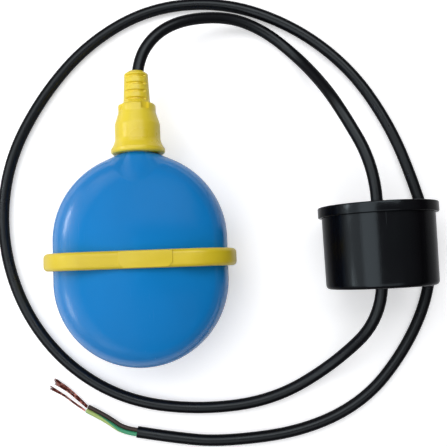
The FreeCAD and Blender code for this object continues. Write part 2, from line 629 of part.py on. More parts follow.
# ---- cores inside the cartridge ----

CORE_ANGLES = {"brown": 90.0, "black": 210.0, "earth": 330.0}    # round the cable's axis


def core_places(lay_turn=0.0):
    """Middles of the three cores round the cable's own axis, as (side, up)."""
    radius = (CORE_DIAMETER + CORE_SPREAD) / math.sqrt(3)
    turns = {name: math.radians(angle + lay_turn) for name, angle in CORE_ANGLES.items()}
    return {name: (radius * math.cos(turn), radius * math.sin(turn)) for name, turn in turns.items()}


TERMINAL_OF_CORE = {"brown": 0, "black": -1, "earth": 1}


def make_inner_core(name):
    """Insulated core from the jacket's end to just before the terminals."""
    side, up = core_places()[name]
    level = AXIS_HEIGHT + up
    bare_from = RESIN_BOTTOM + LEAD_BARE_LENGTH
    return rod(CORE_DIAMETER / 2, (side, bare_from, level), (side, JACKET_END, level))


def make_inner_conductors():
    """The bare ends of the three cores, soldered to their terminals."""
    ends = []
    for name, (side, up) in core_places().items():
        tab = TERMINAL_OF_CORE[name] * TERMINAL_PITCH
        tab_level = SWITCH_BOTTOM + TERMINAL_LEVEL + TERMINAL_THICKNESS / 2
        tab_end = SWITCH_BACK + TERMINAL_REACH + FIT + CONDUCTOR_DIAMETER / 4
        start = (side, RESIN_BOTTOM + LEAD_BARE_LENGTH, AXIS_HEIGHT + up)
        lead = rod(CONDUCTOR_DIAMETER / 2, start, (tab, tab_end, tab_level))
        ends.append(lead.cut(make_inner_core(name)))
    return Part.makeCompound(ends)


def make_resin_plug():
    """Cast resin that fills the cartridge above the switch, round the cores."""
    plug = bar_on_axis(CASE_BORE / 2 - FIT, RESIN_BOTTOM, JACKET_END)
    for name in core_places():
        plug = plug.cut(make_inner_core(name))
    return plug.cut(make_inner_conductors())


# ---- counterweight ----

def weight_axis():
    """Start and direction of the counterweight's axis, lid first; the cable holds it level."""
    lean = math.radians(WEIGHT_LEAN)
    direction = Vec(math.sin(lean), -math.cos(lean), 0)
    return Vec(WEIGHT_ANCHOR[0], WEIGHT_ANCHOR[1], WEIGHT_FLANGE_DIAMETER / 2), direction


def on_weight_axis(shape):
    """Move a shape turned about Z onto the counterweight's axis."""
    start, direction = weight_axis()
    placed = shape.copy()
    placed.Placement = FreeCAD.Placement(start, FreeCAD.Rotation(Vec(0, 0, 1), direction))
    return placed


def body_radius(level):
    """The cup's outer radius at a level, with its draft."""
    share = (level - WEIGHT_WALL) / (WEIGHT_LENGTH - WEIGHT_WALL)
    return WEIGHT_BODY_DIAMETER / 2 - WEIGHT_BODY_DRAFT * share


def make_counterweight_cup():
    """Drafted cup with a rounded far edge and a hole for the lid's tube."""
    far = WEIGHT_LENGTH
    hole = WEIGHT_TUBE_DIAMETER / 2 + FIT
    floor = far - WEIGHT_WALL
    outline = [
        (body_radius(WEIGHT_WALL) - WEIGHT_WALL, WEIGHT_WALL),
        (body_radius(WEIGHT_WALL), WEIGHT_WALL), (body_radius(far), far),
        (hole, far), (hole, floor), (body_radius(floor) - WEIGHT_WALL, floor),
    ]
    cup = lathe(outline)
    edge = [item for item in cup.Edges
            if abs(item.BoundBox.ZMin - far) < FIT and item.BoundBox.XMax > WEIGHT_BODY_DIAMETER / 4]
    return on_weight_axis(cup.makeFillet(WEIGHT_BODY_ROUND, edge))


def make_counterweight_lid():
    """Flanged lid with the cable tube and the fins that hold the ballast down."""
    rim = WEIGHT_FLANGE_DIAMETER / 2
    socket = WEIGHT_BODY_DIAMETER / 2 + FIT
    tube = WEIGHT_TUBE_DIAMETER / 2
    bore = WEIGHT_BORE / 2
    pocket = CABLE_RADIUS + GRIP_CLEARANCE + GRIP_WALL + FIT
    grip_end = GRIP_INSET + GRIP_LENGTH
    outline = [
        (pocket, 0), (rim, 0), (rim, WEIGHT_FLANGE_THICKNESS - WEIGHT_FLANGE_LIP),
        (rim - WEIGHT_FLANGE_LIP, WEIGHT_FLANGE_THICKNESS), (socket, WEIGHT_FLANGE_THICKNESS),
        (socket, WEIGHT_WALL), (tube, WEIGHT_WALL), (tube, WEIGHT_LENGTH),
        (bore + WEIGHT_BORE_FLARE, WEIGHT_LENGTH), (bore, WEIGHT_LENGTH - WEIGHT_FLARE_LENGTH),
        (bore, grip_end), (pocket, grip_end),
    ]
    lid = lathe(outline)
    outer_edge = [edge for edge in lid.Edges
                  if edge.BoundBox.ZMax < FIT and edge.BoundBox.XMax > rim - FIT]
    lid = lid.makeFillet(WEIGHT_FLANGE_ROUND, outer_edge)
    fin_end = WEIGHT_LENGTH - WEIGHT_WALL - BALLAST_THICKNESS
    half = WEIGHT_FIN_THICKNESS / 2
    for index in range(WEIGHT_FIN_COUNT):
        fin = box((tube - half, WEIGHT_FIN_REACH), (-half, half), (WEIGHT_WALL - FIT, fin_end))
        fin.rotate(Vec(0, 0, 0), Vec(0, 0, 1), 360 / WEIGHT_FIN_COUNT * index)
        lid = lid.fuse(fin)
    return on_weight_axis(lid)


def make_ballast_ring():
    """Cast iron ring on the cup's floor, round the lid's tube."""
    inner = WEIGHT_TUBE_DIAMETER / 2 + BALLAST_CLEARANCE
    end = WEIGHT_LENGTH - WEIGHT_WALL
    start = end - BALLAST_THICKNESS
    outer = BALLAST_DIAMETER / 2
    return on_weight_axis(lathe([(inner, start), (outer, start), (outer, end), (inner, end)]))


def make_cable_grip():
    """Soft ring in the lid's pocket that grips the cable."""
    inner = CABLE_RADIUS + GRIP_CLEARANCE
    outer = inner + GRIP_WALL
    end = GRIP_INSET + GRIP_LENGTH
    return on_weight_axis(lathe([(inner, GRIP_INSET), (outer, GRIP_INSET), (outer, end), (inner, end)]))


# ---- free cable, its cores and strands ----

def on_route(points):
    """A wire of straight runs joined by tangent arcs, and its bend radii."""
    corners = [Vec(*point) for point in points]
    runs = [(b - a).Length for a, b in zip(corners, corners[1:])]
    edges = []
    radii = []
    start = corners[0]
    for index in range(1, len(corners) - 1):
        back = (corners[index - 1] - corners[index]).normalize()
        ahead = (corners[index + 1] - corners[index]).normalize()
        turn = math.pi - back.getAngle(ahead)
        reach = BEND_SHARE * min(runs[index - 1], runs[index])
        radius = reach / math.tan(turn / 2)
        enter = corners[index] + back * reach
        leave = corners[index] + ahead * reach
        inwards = (back + ahead).normalize()
        middle = corners[index] + inwards * (radius / math.cos(turn / 2) - radius)
        edges.append(Part.LineSegment(start, enter).toShape())
        edges.append(Part.Arc(enter, middle, leave).toShape())
        radii.append(radius)
        start = leave
    edges.append(Part.LineSegment(start, corners[-1]).toShape())
    return Part.Wire(edges), radii


def sweep_round(name, points, radius):
    """A round tube along a route, with its radii, length and volume printed."""
    path, radii = on_route(points)
    first = (Vec(*points[1]) - Vec(*points[0])).normalize()
    circle = Part.Wire(Part.makeCircle(radius, Vec(*points[0]), first))
    tube = path.makePipeShell([circle], True, False)
    expected = math.pi * radius ** 2 * path.Length
    print(name, "length", round(path.Length, 1), "least bend", round(min(radii), 1),
          "bends", [round(bend, 1) for bend in radii], "volume ratio", round(tube.Volume / expected, 4))
    return tube


def cable_route():
    """The whole free cable's corners, with the straight stretch on the weight's axis."""
    start, direction = weight_axis()
    through = [tuple(start + direction * WEIGHT_IN), tuple(start + direction * WEIGHT_OUT)]
    on_bench = [(x, y, CABLE_LEVEL) for x, y in ROUTE_ON_BENCH]
    return [(0.0, CABLE_START, AXIS_HEIGHT)] + ROUTE_TO_WEIGHT + through + [ROUTE_DOWN] + on_bench


def make_cable():
    """Jacketed cable from the gland to its cut end."""
    return sweep_round("cable", cable_route(), CABLE_RADIUS)


def make_cable_root():
    """Straight end of the same jacket, held in the gland's seal."""
    return bar_on_axis(CABLE_RADIUS, JACKET_END, CABLE_START)


def core_route(name):
    """One bared core beside the middle line, sinking to the bench."""
    places = core_places(CORE_LAY_TURN)
    side, up = places[name]
    resting = CORE_DIAMETER / 2 + BENCH_CLEARANCE
    lowest = min(place[1] for place in places.values())
    points = []
    for index, (x, y) in enumerate(CORE_ROUTE):
        before = CORE_ROUTE[max(index - 1, 0)]
        after = CORE_ROUTE[min(index + 1, len(CORE_ROUTE) - 1)]
        along = Vec(after[0] - before[0], after[1] - before[1], 0).normalize()
        across = Vec(-along.y, along.x, 0)
        level = CABLE_LEVEL + up if index == 0 else resting + up - lowest
        shift = along * CORE_START if index == 0 else Vec(0, 0, 0)
        points.append(tuple(Vec(x, y, level) + across * side + shift))
    return points


def make_bared_core(name):
    """Insulated core between the jacket's cut end and its bare strands."""
    return sweep_round("core_" + name, core_route(name), CORE_DIAMETER / 2)


def make_strands(name):
    """Bundle of bare copper strands, as one slim bar."""
    return sweep_round(name, STRANDS_ROUTES[name], STRANDS_DIAMETER / 2)


def build():
    """Every piece by its node's name."""
    pieces = {
        "float_shell": make_float_shell(),
        "float_band": make_float_band(),
        "gland_cap": make_gland_cap(),
        "cable_seal": make_cable_seal(),
        "thrust_washer": make_thrust_washer(),
        "neck_o_ring": make_neck_o_ring(),
        "switch_case_lower": case_half(False),
        "switch_case_upper": case_half(True),
        "steel_ball": make_steel_ball(),
        "microswitch_base": make_switch_base(),
        "microswitch_cover": make_switch_cover(),
        "switch_plunger": make_plunger(),
        "switch_lever": make_lever(),
        "lever_pin": pin_bar(PIN_DIAMETER / 2),
        "terminal_common": make_terminal_common(),
        "terminal_open": make_terminal_open(),
        "terminal_closed": make_terminal_closed(),
        "contact_blade": make_contact_blade(),
        "inner_conductors": make_inner_conductors(),
        "resin_plug": make_resin_plug(),
        "counterweight_cup": make_counterweight_cup(),
        "counterweight_lid": make_counterweight_lid(),
        "ballast_ring": make_ballast_ring(),
        "cable_grip": make_cable_grip(),
        "cable": make_cable(),
        "cable_root": make_cable_root(),
    }
    for name in core_places():
        pieces["inner_core_" + name] = make_inner_core(name)
        pieces["core_" + name] = make_bared_core(name)
    for name in STRANDS_ROUTES:
        pieces[name] = make_strands(name)
    return pieces


os.makedirs("parts", exist_ok=True)
for node, solid in build().items():
    if not solid.isValid():
        print("not valid:", node)
    solid.exportStep("parts/" + node + ".step")
    print(node, len(solid.Solids), round(solid.Volume, 1))
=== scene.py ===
"""The looks of a cable float level switch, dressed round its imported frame.

Lengths are in metres. X runs to the right, Y along the float towards its
cable gland, Z up, and the object lies on the floor at Z = 0.
"""

import json
import math
import bmesh
import bpy
import numpy as np
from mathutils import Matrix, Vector


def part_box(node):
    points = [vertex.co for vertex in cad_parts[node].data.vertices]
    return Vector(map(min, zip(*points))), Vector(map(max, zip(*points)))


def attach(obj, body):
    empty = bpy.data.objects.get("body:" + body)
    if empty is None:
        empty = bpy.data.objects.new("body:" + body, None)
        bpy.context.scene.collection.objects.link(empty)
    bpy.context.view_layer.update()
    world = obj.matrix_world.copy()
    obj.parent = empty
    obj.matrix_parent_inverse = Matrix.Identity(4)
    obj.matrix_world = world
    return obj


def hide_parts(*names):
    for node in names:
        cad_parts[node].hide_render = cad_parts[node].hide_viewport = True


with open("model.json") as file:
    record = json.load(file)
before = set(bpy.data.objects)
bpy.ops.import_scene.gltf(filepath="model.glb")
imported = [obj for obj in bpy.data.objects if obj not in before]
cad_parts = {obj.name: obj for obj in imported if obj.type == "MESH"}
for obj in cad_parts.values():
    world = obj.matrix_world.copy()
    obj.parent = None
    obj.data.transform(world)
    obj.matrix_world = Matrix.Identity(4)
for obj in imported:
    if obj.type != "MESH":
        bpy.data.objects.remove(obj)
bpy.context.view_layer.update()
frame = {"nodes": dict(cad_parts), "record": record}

MM = 0.001
TURN = 2 * math.pi

# ---- the float's form ----
SHELL_LOW, SHELL_HIGH = (np.array(corner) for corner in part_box("float_shell"))
BAND_LOW, BAND_HIGH = (np.array(corner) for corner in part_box("float_band"))
CAP_LOW, CAP_HIGH = (np.array(corner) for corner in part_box("gland_cap"))
HALF_WIDTH = SHELL_HIGH[0]
HALF_THICKNESS = (SHELL_HIGH[2] - SHELL_LOW[2]) / 2
AXIS_HEIGHT = (SHELL_HIGH[2] + SHELL_LOW[2]) / 2
END_SPACING = 20.6 * MM
LOWER_CENTRE = SHELL_LOW[1] + HALF_WIDTH
UPPER_CENTRE = LOWER_CENTRE + END_SPACING
EDGE_RADIUS = 14.0 * MM
SIDE_FLAT = 6.0 * MM
SHELL_WALL = 2.2 * MM
NECK_RADIUS = 12.6 * MM
NECK_FILLET = 6.0 * MM
SPIGOT_RADIUS = 10.0 * MM
SPIGOT_BORE = 8.3 * MM
SPIGOT_TOP = SHELL_HIGH[1]
SHOULDER = CAP_LOW[1]
SEAM_HEIGHT = 0.16 * MM
SEAM_WIDTH = 0.5 * MM
SHELL_COLUMNS = 216

# ---- the cable's route, in millimetres: the control points of one smooth line ----
CABLE_LEVEL = 3.2
WEIGHT_START = np.array([123.6, 1.7, 30.8])
WEIGHT_AXIS = np.array([0.016231, -0.999868, 0.0])
WEIGHT_IN = -20.5
WEIGHT_OUT = 57.5
ROUTE_TO_WEIGHT = [
    (0.0, 64.7, 26.0), (0.0, 81.2, 26.0), (9.4, 97.6, 24.5), (25.5, 107.5, 19.5),
    (50.5, 111.8, 9.0), (70.4, 105.1, 3.2), (87.3, 90.4, 3.2), (98.7, 72.8, 15.0),
    (107.0, 54.8, 27.5),
]
ROUTE_DOWN = (99.8, -83.2, 7.5)
ROUTE_ON_FLOOR = [
    (66.6, -101.4), (25.6, -105.0), (-14.3, -98.2), (-47.2, -76.9), (-69.9, -44.7),
    (-80.0, -5.6), (-75.7, 34.4), (-56.9, 70.2), (-29.6, 101.0), (6.6, 120.6),
    (48.6, 122.3), (87.0, 107.4), (118.2, 81.7), (139.4, 47.5), (151.6, 12.4),
    (158.9, -18.7), (155.1, -48.7), (140.3, -77.5), (117.6, -103.3), (83.5, -118.5),
    (38.4, -122.6), (12.5, -119.4), (-7.4, -115.6),
]


# ---- meshes from grids of points ----

HALVINGS = 46                   # enough to reach a double's last digits


def add_object(name, data):
    """An object that shows this data, linked to the scene."""
    made = bpy.data.objects.new(name, data)
    bpy.context.scene.collection.objects.link(made)
    return made


def grid_faces(rows, columns):
    """Quads between neighbouring points of a grid whose columns close on themselves."""
    row = np.arange(rows - 1)[:, None]
    column = np.arange(columns)[None, :]
    beside = (column + 1) % columns
    corners = [row * columns + column, row * columns + beside,
               (row + 1) * columns + beside, (row + 1) * columns + column]
    return np.stack([corner.ravel() for corner in corners], axis=1)


def piece_from_grid(name, points, sharp_degrees=35.0, uv=None):
    """An object whose mesh is a grid of points, merged at its poles and facing outwards."""
    rows, columns = points.shape[:2]
    mesh = bpy.data.meshes.new(name)
    faces = grid_faces(rows, columns)
    mesh.from_pydata(points.reshape(-1, 3).tolist(), [], faces.tolist())
    if uv is not None:
        layer = mesh.uv_layers.new(name="UVMap")
        flat = uv.reshape(-1, 2)[faces]
        wraps = flat[:, :, 0].max(axis=1) - flat[:, :, 0].min(axis=1) > 0.5
        flat[:, :, 0] += np.where(wraps[:, None] & (flat[:, :, 0] < 0.5), 1.0, 0.0)
        layer.data.foreach_set("uv", flat.ravel())
    return finished_piece(name, mesh, sharp_degrees)


def finished_piece(name, mesh, sharp_degrees):
    """Merge doubled points, turn the faces outwards and shade smooth up to an angle."""
    work = bmesh.new()
    work.from_mesh(mesh)
    bmesh.ops.remove_doubles(work, verts=work.verts, dist=1e-7)
    bmesh.ops.dissolve_degenerate(work, edges=work.edges, dist=1e-7)
    bmesh.ops.recalc_face_normals(work, faces=work.faces)
    work.to_mesh(mesh)
    work.free()
    mesh.shade_smooth()
    mesh.set_sharp_from_angle(angle=math.radians(sharp_degrees))
    return add_object(name, mesh)


def halved(distance, reach):
    """Where a growing function of length crosses zero, found by halving, for whole arrays."""
    low = np.zeros_like(reach)
    high = reach.copy()
    for _ in range(HALVINGS):
        middle = (low + high) / 2
        inside = distance(middle) < 0
        low = np.where(inside, middle, low)
        high = np.where(inside, high, middle)
    return (low + high) / 2


def joined_rows(*groups):
    """Stack groups of rows, each an array of (rows, columns, 3) points, into one grid."""
    return np.concatenate(groups, axis=0)


# ---- float shell ----

def half_width_at(height, inset):
    """Half the float's width at a height from its middle plane.

    A straight side wall, then an arc of the edge radius, then a wide crown
    arc that meets the edge arc smoothly and reaches zero at the full height.
    """
    radius = EDGE_RADIUS - inset
    side = SIDE_FLAT / 2
    centre = HALF_WIDTH - inset - radius
    top = HALF_THICKNESS - inset
    drop = top - side
    crown = (centre ** 2 + drop ** 2 - radius ** 2) / (2 * (drop - radius))
    crown_centre = top - crown
    join = crown_centre + crown * math.cos(math.atan2(centre, side - crown_centre))
    height = np.abs(height)
    edge_arc = centre + np.sqrt(np.maximum(radius ** 2 - (height - side) ** 2, 0))
    crown_arc = np.sqrt(np.maximum(crown ** 2 - (height - crown_centre) ** 2, 0))
    arcs = np.where(height <= join, edge_arc, crown_arc)
    return np.where(height <= side, HALF_WIDTH - inset, np.where(height >= top, 0, arcs))


def end_height(radius, turn, inset):
    """Height of the rounded end over the end's centre, at a radius and turn about Y.

    The end is a disc of revolution about Z, so its depth along Y is the root
    of the squared half width at that height less the squared distance in X.
    """
    across = radius * np.cos(turn)
    width = half_width_at(radius * np.sin(turn), inset)
    return np.sqrt(np.maximum(width ** 2 - across ** 2, 0))


def ray_rows(angles, turn, inset, centre, sign):
    """Rows on a rounded end, along rays from its centre at angles from the Y axis.

    A ray ends where its distance from the upright line through the centre
    is the half width at its height.
    """
    angle, around = np.broadcast_arrays(angles, turn[None, :])
    side = np.sin(angle) * np.cos(around)
    along = np.cos(angle)
    up = np.sin(angle) * np.sin(around)
    start = np.full(angle.shape, 2 * HALF_WIDTH)
    reach = halved(lambda t: np.hypot(t * side, t * along) - half_width_at(t * up, inset), start)
    return np.stack([reach * side, centre + sign * reach * along, AXIS_HEIGHT + reach * up], axis=2)


def ring_rows(radii, places, turn):
    """Rows of circles about the float's axis, one for each radius and place on Y."""
    radius, around = np.broadcast_arrays(radii, turn[None, :])
    place = np.broadcast_to(places, radius.shape)
    return np.stack([radius * np.cos(around), place, AXIS_HEIGHT + radius * np.sin(around)], axis=2)


def neck_rows(turn, rows):
    """The fillet between neck and float, cut level at the shoulder.

    Its height over the rounded end is the fillet's radius less the root of
    the squared radius less the squared distance still to go to its foot.
    """
    foot = NECK_RADIUS + NECK_FILLET
    level = SHOULDER - UPPER_CENTRE

    def height(radius):
        """Height of the fillet over the end's centre, at a radius from the float's axis."""
        run = np.minimum(foot - radius, NECK_FILLET)
        rise = NECK_FILLET - np.sqrt(np.maximum(NECK_FILLET ** 2 - run ** 2, 0))
        return end_height(radius, turn, 0) + rise

    rim = halved(lambda t: level - height(foot - t), np.full(turn.shape, NECK_FILLET))
    share = np.linspace(0, 1, rows)[:, None]
    radii = (foot - rim) * (1 - share) + foot * share
    places = UPPER_CENTRE + np.minimum(height(radii), level)
    return ring_rows(radii, places, turn)


def wall_rows(turn, inset, upper_radius, rows):
    """One wall of the float from where its neck starts down to its lower end's middle."""
    start = np.arctan2(upper_radius, end_height(upper_radius, turn, inset))
    share = np.linspace(0, 1, rows)[:, None]
    upper = ray_rows(start[None, :] * (1 - share) + math.pi / 2 * share, turn, inset, UPPER_CENTRE, 1)
    angles = math.pi / 2 * (1 - share)
    lower = ray_rows(np.broadcast_to(angles, (rows, turn.size)), turn, inset, LOWER_CENTRE, -1)
    between = upper[-1:] + (lower[:1] - upper[-1:]) * np.linspace(0, 1, 8)[1:-1, None, None]
    return joined_rows(upper, between, lower)


def seam_ridge(points):
    """Raise a fine rounded ridge where the mould's halves met, round the float's middle plane.

    It rises outwards from the nearer end's centre, by the ridge's height
    times a bell curve of the height over the middle plane.
    """
    height = points[:, :, 2] - AXIS_HEIGHT
    rise = SEAM_HEIGHT * np.exp(-(height / SEAM_WIDTH) ** 2)
    centre_y = np.clip(points[:, :, 1], LOWER_CENTRE, UPPER_CENTRE)
    outwards = np.stack([points[:, :, 0], points[:, :, 1] - centre_y], axis=2)
    outwards /= np.maximum(np.linalg.norm(outwards, axis=2, keepdims=True), 1e-9)
    points[:, :, :2] += outwards * rise[:, :, None]
    return points


def seam_turns(count):
    """Even turns about Y, with extra ones close to the middle plane for the mould's ridge."""
    even = np.linspace(0, TURN, count, endpoint=False)
    fine = np.array([0.004, 0.008, 0.013, 0.019, 0.03, 0.05])
    extra = np.concatenate([side + sign * fine for side in (0, math.pi) for sign in (1, -1)])
    return np.unique(np.round(np.concatenate([even, extra % TURN]), 6))


def make_float_shell():
    """Blow-moulded float: outer wall, filleted neck, spigot, bore and inner wall in one skin."""
    turn = seam_turns(SHELL_COLUMNS)
    foot = NECK_RADIUS + NECK_FILLET
    spigot = ring_rows(np.array([[SPIGOT_BORE], [SPIGOT_RADIUS], [SPIGOT_RADIUS]]),
                       np.array([[SPIGOT_TOP], [SPIGOT_TOP], [SHOULDER]]), turn)
    outer = seam_ridge(wall_rows(turn, inset=0, upper_radius=foot, rows=44))
    inner = wall_rows(turn, inset=SHELL_WALL, upper_radius=SPIGOT_BORE, rows=30)
    points = joined_rows(spigot, neck_rows(turn, rows=14), outer, inner[::-1], spigot[:1])
    return piece_from_grid("float_skin", points, sharp_degrees=40)


# ---- band round the float ----

BAND_EDGE = 2.2 * MM
BAND_CORNER = 23.0 * MM
BAND_SEAT = 0.05 * MM
BAND_COLUMNS = 480


def rounded_box_distance(across, up, inset):
    """Signed distance from the band's outer outline, a rectangle with round corners.

    It is the distance from the rectangle through the corners' centres,
    negative within it, less the corners' radius.
    """
    radius = BAND_CORNER - inset
    half_x = BAND_HIGH[0] - inset - radius
    half_z = AXIS_HEIGHT - inset - radius
    out_x = np.abs(across) - half_x
    out_z = np.abs(up) - half_z
    outside = np.hypot(np.maximum(out_x, 0), np.maximum(out_z, 0))
    return outside + np.minimum(np.maximum(out_x, out_z), 0) - radius


def crossing_row(turn, place, distance):
    """One ring at a place on Y, out where a distance from a surface crosses zero."""
    side, up = np.cos(turn), np.sin(turn)
    reach = halved(lambda t: distance(t * side, t * up), np.full(turn.shape, 2 * HALF_WIDTH))
    return ring_rows(reach[None], place, turn)


def band_row(turn, inset, place):
    """One ring of the band, inset from its outer outline, at a place on Y."""
    return crossing_row(turn, place, lambda across, up: rounded_box_distance(across, up, inset))


def float_row(turn, place):
    """One ring on the float's straight middle stretch, where the band sits on it."""
    return crossing_row(turn, place, lambda across, up: np.abs(across) - half_width_at(up, -BAND_SEAT))


def make_band():
    """Ring with quarter-round edges: insets and places follow the corner circles."""
    turn = np.linspace(0, TURN, BAND_COLUMNS, endpoint=False)
    low, high = BAND_LOW[1], BAND_HIGH[1]
    corner = np.linspace(0, math.pi / 2, 7)
    rows = [float_row(turn, low)]
    rows += [band_row(turn, BAND_EDGE * (1 - math.sin(a)), low + BAND_EDGE * (1 - math.cos(a)))
             for a in corner]
    rows += [band_row(turn, BAND_EDGE * (1 - math.cos(a)), high - BAND_EDGE * (1 - math.sin(a)))
             for a in corner]
    rows += [float_row(turn, high), float_row(turn, low)]
    return piece_from_grid("band_ring", joined_rows(*rows), sharp_degrees=50)


PLATE_SHIFT = 5.0 * MM
PLATE_HALF_LENGTH = 13.25 * MM
PLATE_MARGIN = 0.4 * MM
PLATE_SLANT = 2.2 * MM
PLATE_DEPTH = 2.4 * MM
PLATE_EDGE = 0.28 * MM


def make_band_plate():
    """Bare raised plate on the band: rings of its outline, rounded over at its face.

    Each ring is the outline drawn in by the edge radius less its sine share,
    at the face's height less the radius times one less the cosine share.
    """
    left = PLATE_SHIFT - PLATE_HALF_LENGTH
    right = PLATE_SHIFT + PLATE_HALF_LENGTH
    low = BAND_LOW[1] + PLATE_MARGIN
    high = BAND_HIGH[1] - PLATE_MARGIN
    outline = np.array([
        (left, high), (left, low + PLATE_SLANT), (left + PLATE_SLANT, low),
        (right - PLATE_SLANT, low), (right, low + PLATE_SLANT), (right, high),
    ])
    middle = np.array([PLATE_SHIFT, (low + high) / 2])
    half = np.array([PLATE_HALF_LENGTH, (high - low) / 2])
    top = BAND_HIGH[2]
    rows = []
    for inset, drop in plate_levels():
        ring = middle + (outline - middle) * (1 - inset / half)
        rows.append(np.column_stack([ring, np.full(len(ring), top - drop)])[None])
    middle_top = np.broadcast_to(np.append(middle, top), rows[-1].shape)
    middle_root = np.broadcast_to(np.append(middle, top - PLATE_DEPTH), rows[0].shape)
    return piece_from_grid("band_plate", joined_rows(middle_root, *rows, middle_top), sharp_degrees=40)


def plate_levels():
    """How far each ring of the plate is drawn in, and how far below the face it lies."""
    turns = np.linspace(0, math.pi / 2, 5)
    rounded = [(PLATE_EDGE * (1 - math.cos(t)), PLATE_EDGE * (1 - math.sin(t))) for t in turns]
    return [(0.0, PLATE_DEPTH)] + rounded


# ---- gland cap ----

CAP_RIM_RADIUS = 14.2 * MM
CAP_RIM_ROUND = 0.8 * MM
CAP_BARREL_RADIUS = 11.95 * MM
CAP_FLARE_STEP = 0.7 * MM
CAP_SHOULDER_RADIUS = 9.9 * MM
CAP_COLLAR_RADIUS = 7.6 * MM
SLEEVE_ROOT_RADIUS = 6.95 * MM
SLEEVE_TIP_RADIUS = 6.3 * MM
SLEEVE_CHAMFER = 1.7 * MM
SLEEVE_BORE = 3.15 * MM
SLEEVE_MOUTH = 4.05 * MM
SLEEVE_MOUTH_DEPTH = 6.0 * MM
CAP_LEVELS = np.cumsum([3.0, 4.4, 8.1, 6.5, 4.4, 1.7]) * MM
GROOVE_PITCH = 4.1 * MM
GROOVE_WIDTH = 1.1 * MM
GROOVE_DEPTH = 1.0 * MM
GROOVE_REACH = 5.4 * MM
GROOVE_LIP = 0.22 * MM
NOTCH_TURN = math.radians(32.0)
NOTCH_HALF_WIDTH = 1.95 * MM
NOTCH_HEIGHT = 3.4 * MM
NOTCH_DEPTH = 1.5 * MM
GROOVE_COUNT = 4
NOTCH_COUNT = 4
CAP_COLUMNS = 288
CAP_SOFT_EDGE = 0.35 * MM
CAP_SPACING = 0.28 * MM         # between two rings of the cap's skin
CLEAR_OF_CAP = 10 * MM          # more than any notch is deep


def cap_profile():
    """Outer corners of the cap as (place on Y, radius), from rim to tip."""
    rim, flare, barrel, cone, shoulder, collar = SHOULDER + CAP_LEVELS
    tip = CAP_HIGH[1]
    return [
        (SHOULDER, CAP_RIM_RADIUS - CAP_RIM_ROUND), (SHOULDER + CAP_RIM_ROUND, CAP_RIM_RADIUS),
        (rim - CAP_RIM_ROUND / 2, CAP_RIM_RADIUS), (rim, CAP_RIM_RADIUS - CAP_RIM_ROUND / 2),
        ((rim + flare) / 2, CAP_BARREL_RADIUS + CAP_FLARE_STEP), (flare, CAP_BARREL_RADIUS),
        (barrel, CAP_BARREL_RADIUS), (cone, CAP_SHOULDER_RADIUS),
        (shoulder - CAP_RIM_ROUND, CAP_SHOULDER_RADIUS),
        (shoulder, CAP_SHOULDER_RADIUS - CAP_RIM_ROUND),
        (shoulder, CAP_COLLAR_RADIUS), (collar, SLEEVE_ROOT_RADIUS),
        (tip - SLEEVE_CHAMFER, SLEEVE_TIP_RADIUS), (tip, SLEEVE_MOUTH),
        (tip - SLEEVE_MOUTH_DEPTH, SLEEVE_BORE), (SHOULDER + CAP_LEVELS[4], SLEEVE_BORE),
    ]


def softened(corners, cut, steps):
    """Round each corner of a profile: a curve from a cut before it to a cut after it.

    Points on the curve are the corner weighted twice the product of the
    shares, and the two cut points weighted by the squares of the shares.
    """
    points = [np.array(corner, float) for corner in corners]
    result = [points[0]]
    for before, corner, after in zip(points, points[1:], points[2:]):
        back = before - corner
        ahead = after - corner
        enter = corner + back * min(cut / np.linalg.norm(back), 0.5)
        leave = corner + ahead * min(cut / np.linalg.norm(ahead), 0.5)
        share = np.linspace(0, 1, steps)[:, None]
        curve = enter * (1 - share) ** 2 + corner * 2 * share * (1 - share) + leave * share ** 2
        result.extend(curve)
    result.append(points[-1])
    return np.array(result)


def filled(profile, spacing):
    """A profile with more points, so that none is further than a spacing from the next."""
    rows = [profile[:1]]
    for start, end in zip(profile, profile[1:]):
        count = max(int(math.ceil(np.linalg.norm(end - start) / spacing)), 1)
        rows.append(start + (end - start) * np.linspace(0, 1, count + 1)[1:, None])
    return np.concatenate(rows)


def make_gland_cap():
    """Cap and sleeve as one turned skin, with grooves and notches pressed into its radius."""
    corners = [(SHOULDER, SPIGOT_RADIUS)] + cap_profile()
    profile = filled(softened(corners, CAP_SOFT_EDGE, steps=4), CAP_SPACING)
    turn = np.linspace(0, TURN, CAP_COLUMNS, endpoint=False)
    place = profile[:, :1]
    radius = np.repeat(profile[:, 1:], turn.size, axis=1)
    outer = (np.arange(len(profile)) < np.argmax(place[:, 0]))[:, None]
    radius = np.where(outer, radius - groove_depth(place, radius, turn), radius)
    radius = np.where(outer, np.minimum(radius, notch_floor(place, turn)), radius)
    points = ring_rows(radius, place, turn)
    return piece_from_grid("cap_skin", joined_rows(points, points[:1]), sharp_degrees=38)


def ramp(value, start, end):
    """Zero before the start, one after the end, and a smooth step between them."""
    share = np.clip((value - start) / (end - start), 0, 1)
    return share * share * (3 - 2 * share)


def groove_depth(place, radius, turn):
    """Depth of the sleeve's grooves: a flat floor with short ramps, stopped short of the sides."""
    collar = SHOULDER + CAP_LEVELS[5]
    depth = np.zeros_like(radius)
    half = GROOVE_WIDTH / 2
    for index in range(GROOVE_COUNT):
        off = np.abs(place - (collar + half + index * GROOVE_PITCH))
        depth += GROOVE_DEPTH * (1 - ramp(off, half - GROOVE_LIP, half + GROOVE_LIP))
    across = np.abs(radius * np.cos(turn))
    return depth * (1 - ramp(across, GROOVE_REACH - 3 * GROOVE_LIP, GROOVE_REACH + GROOVE_LIP))


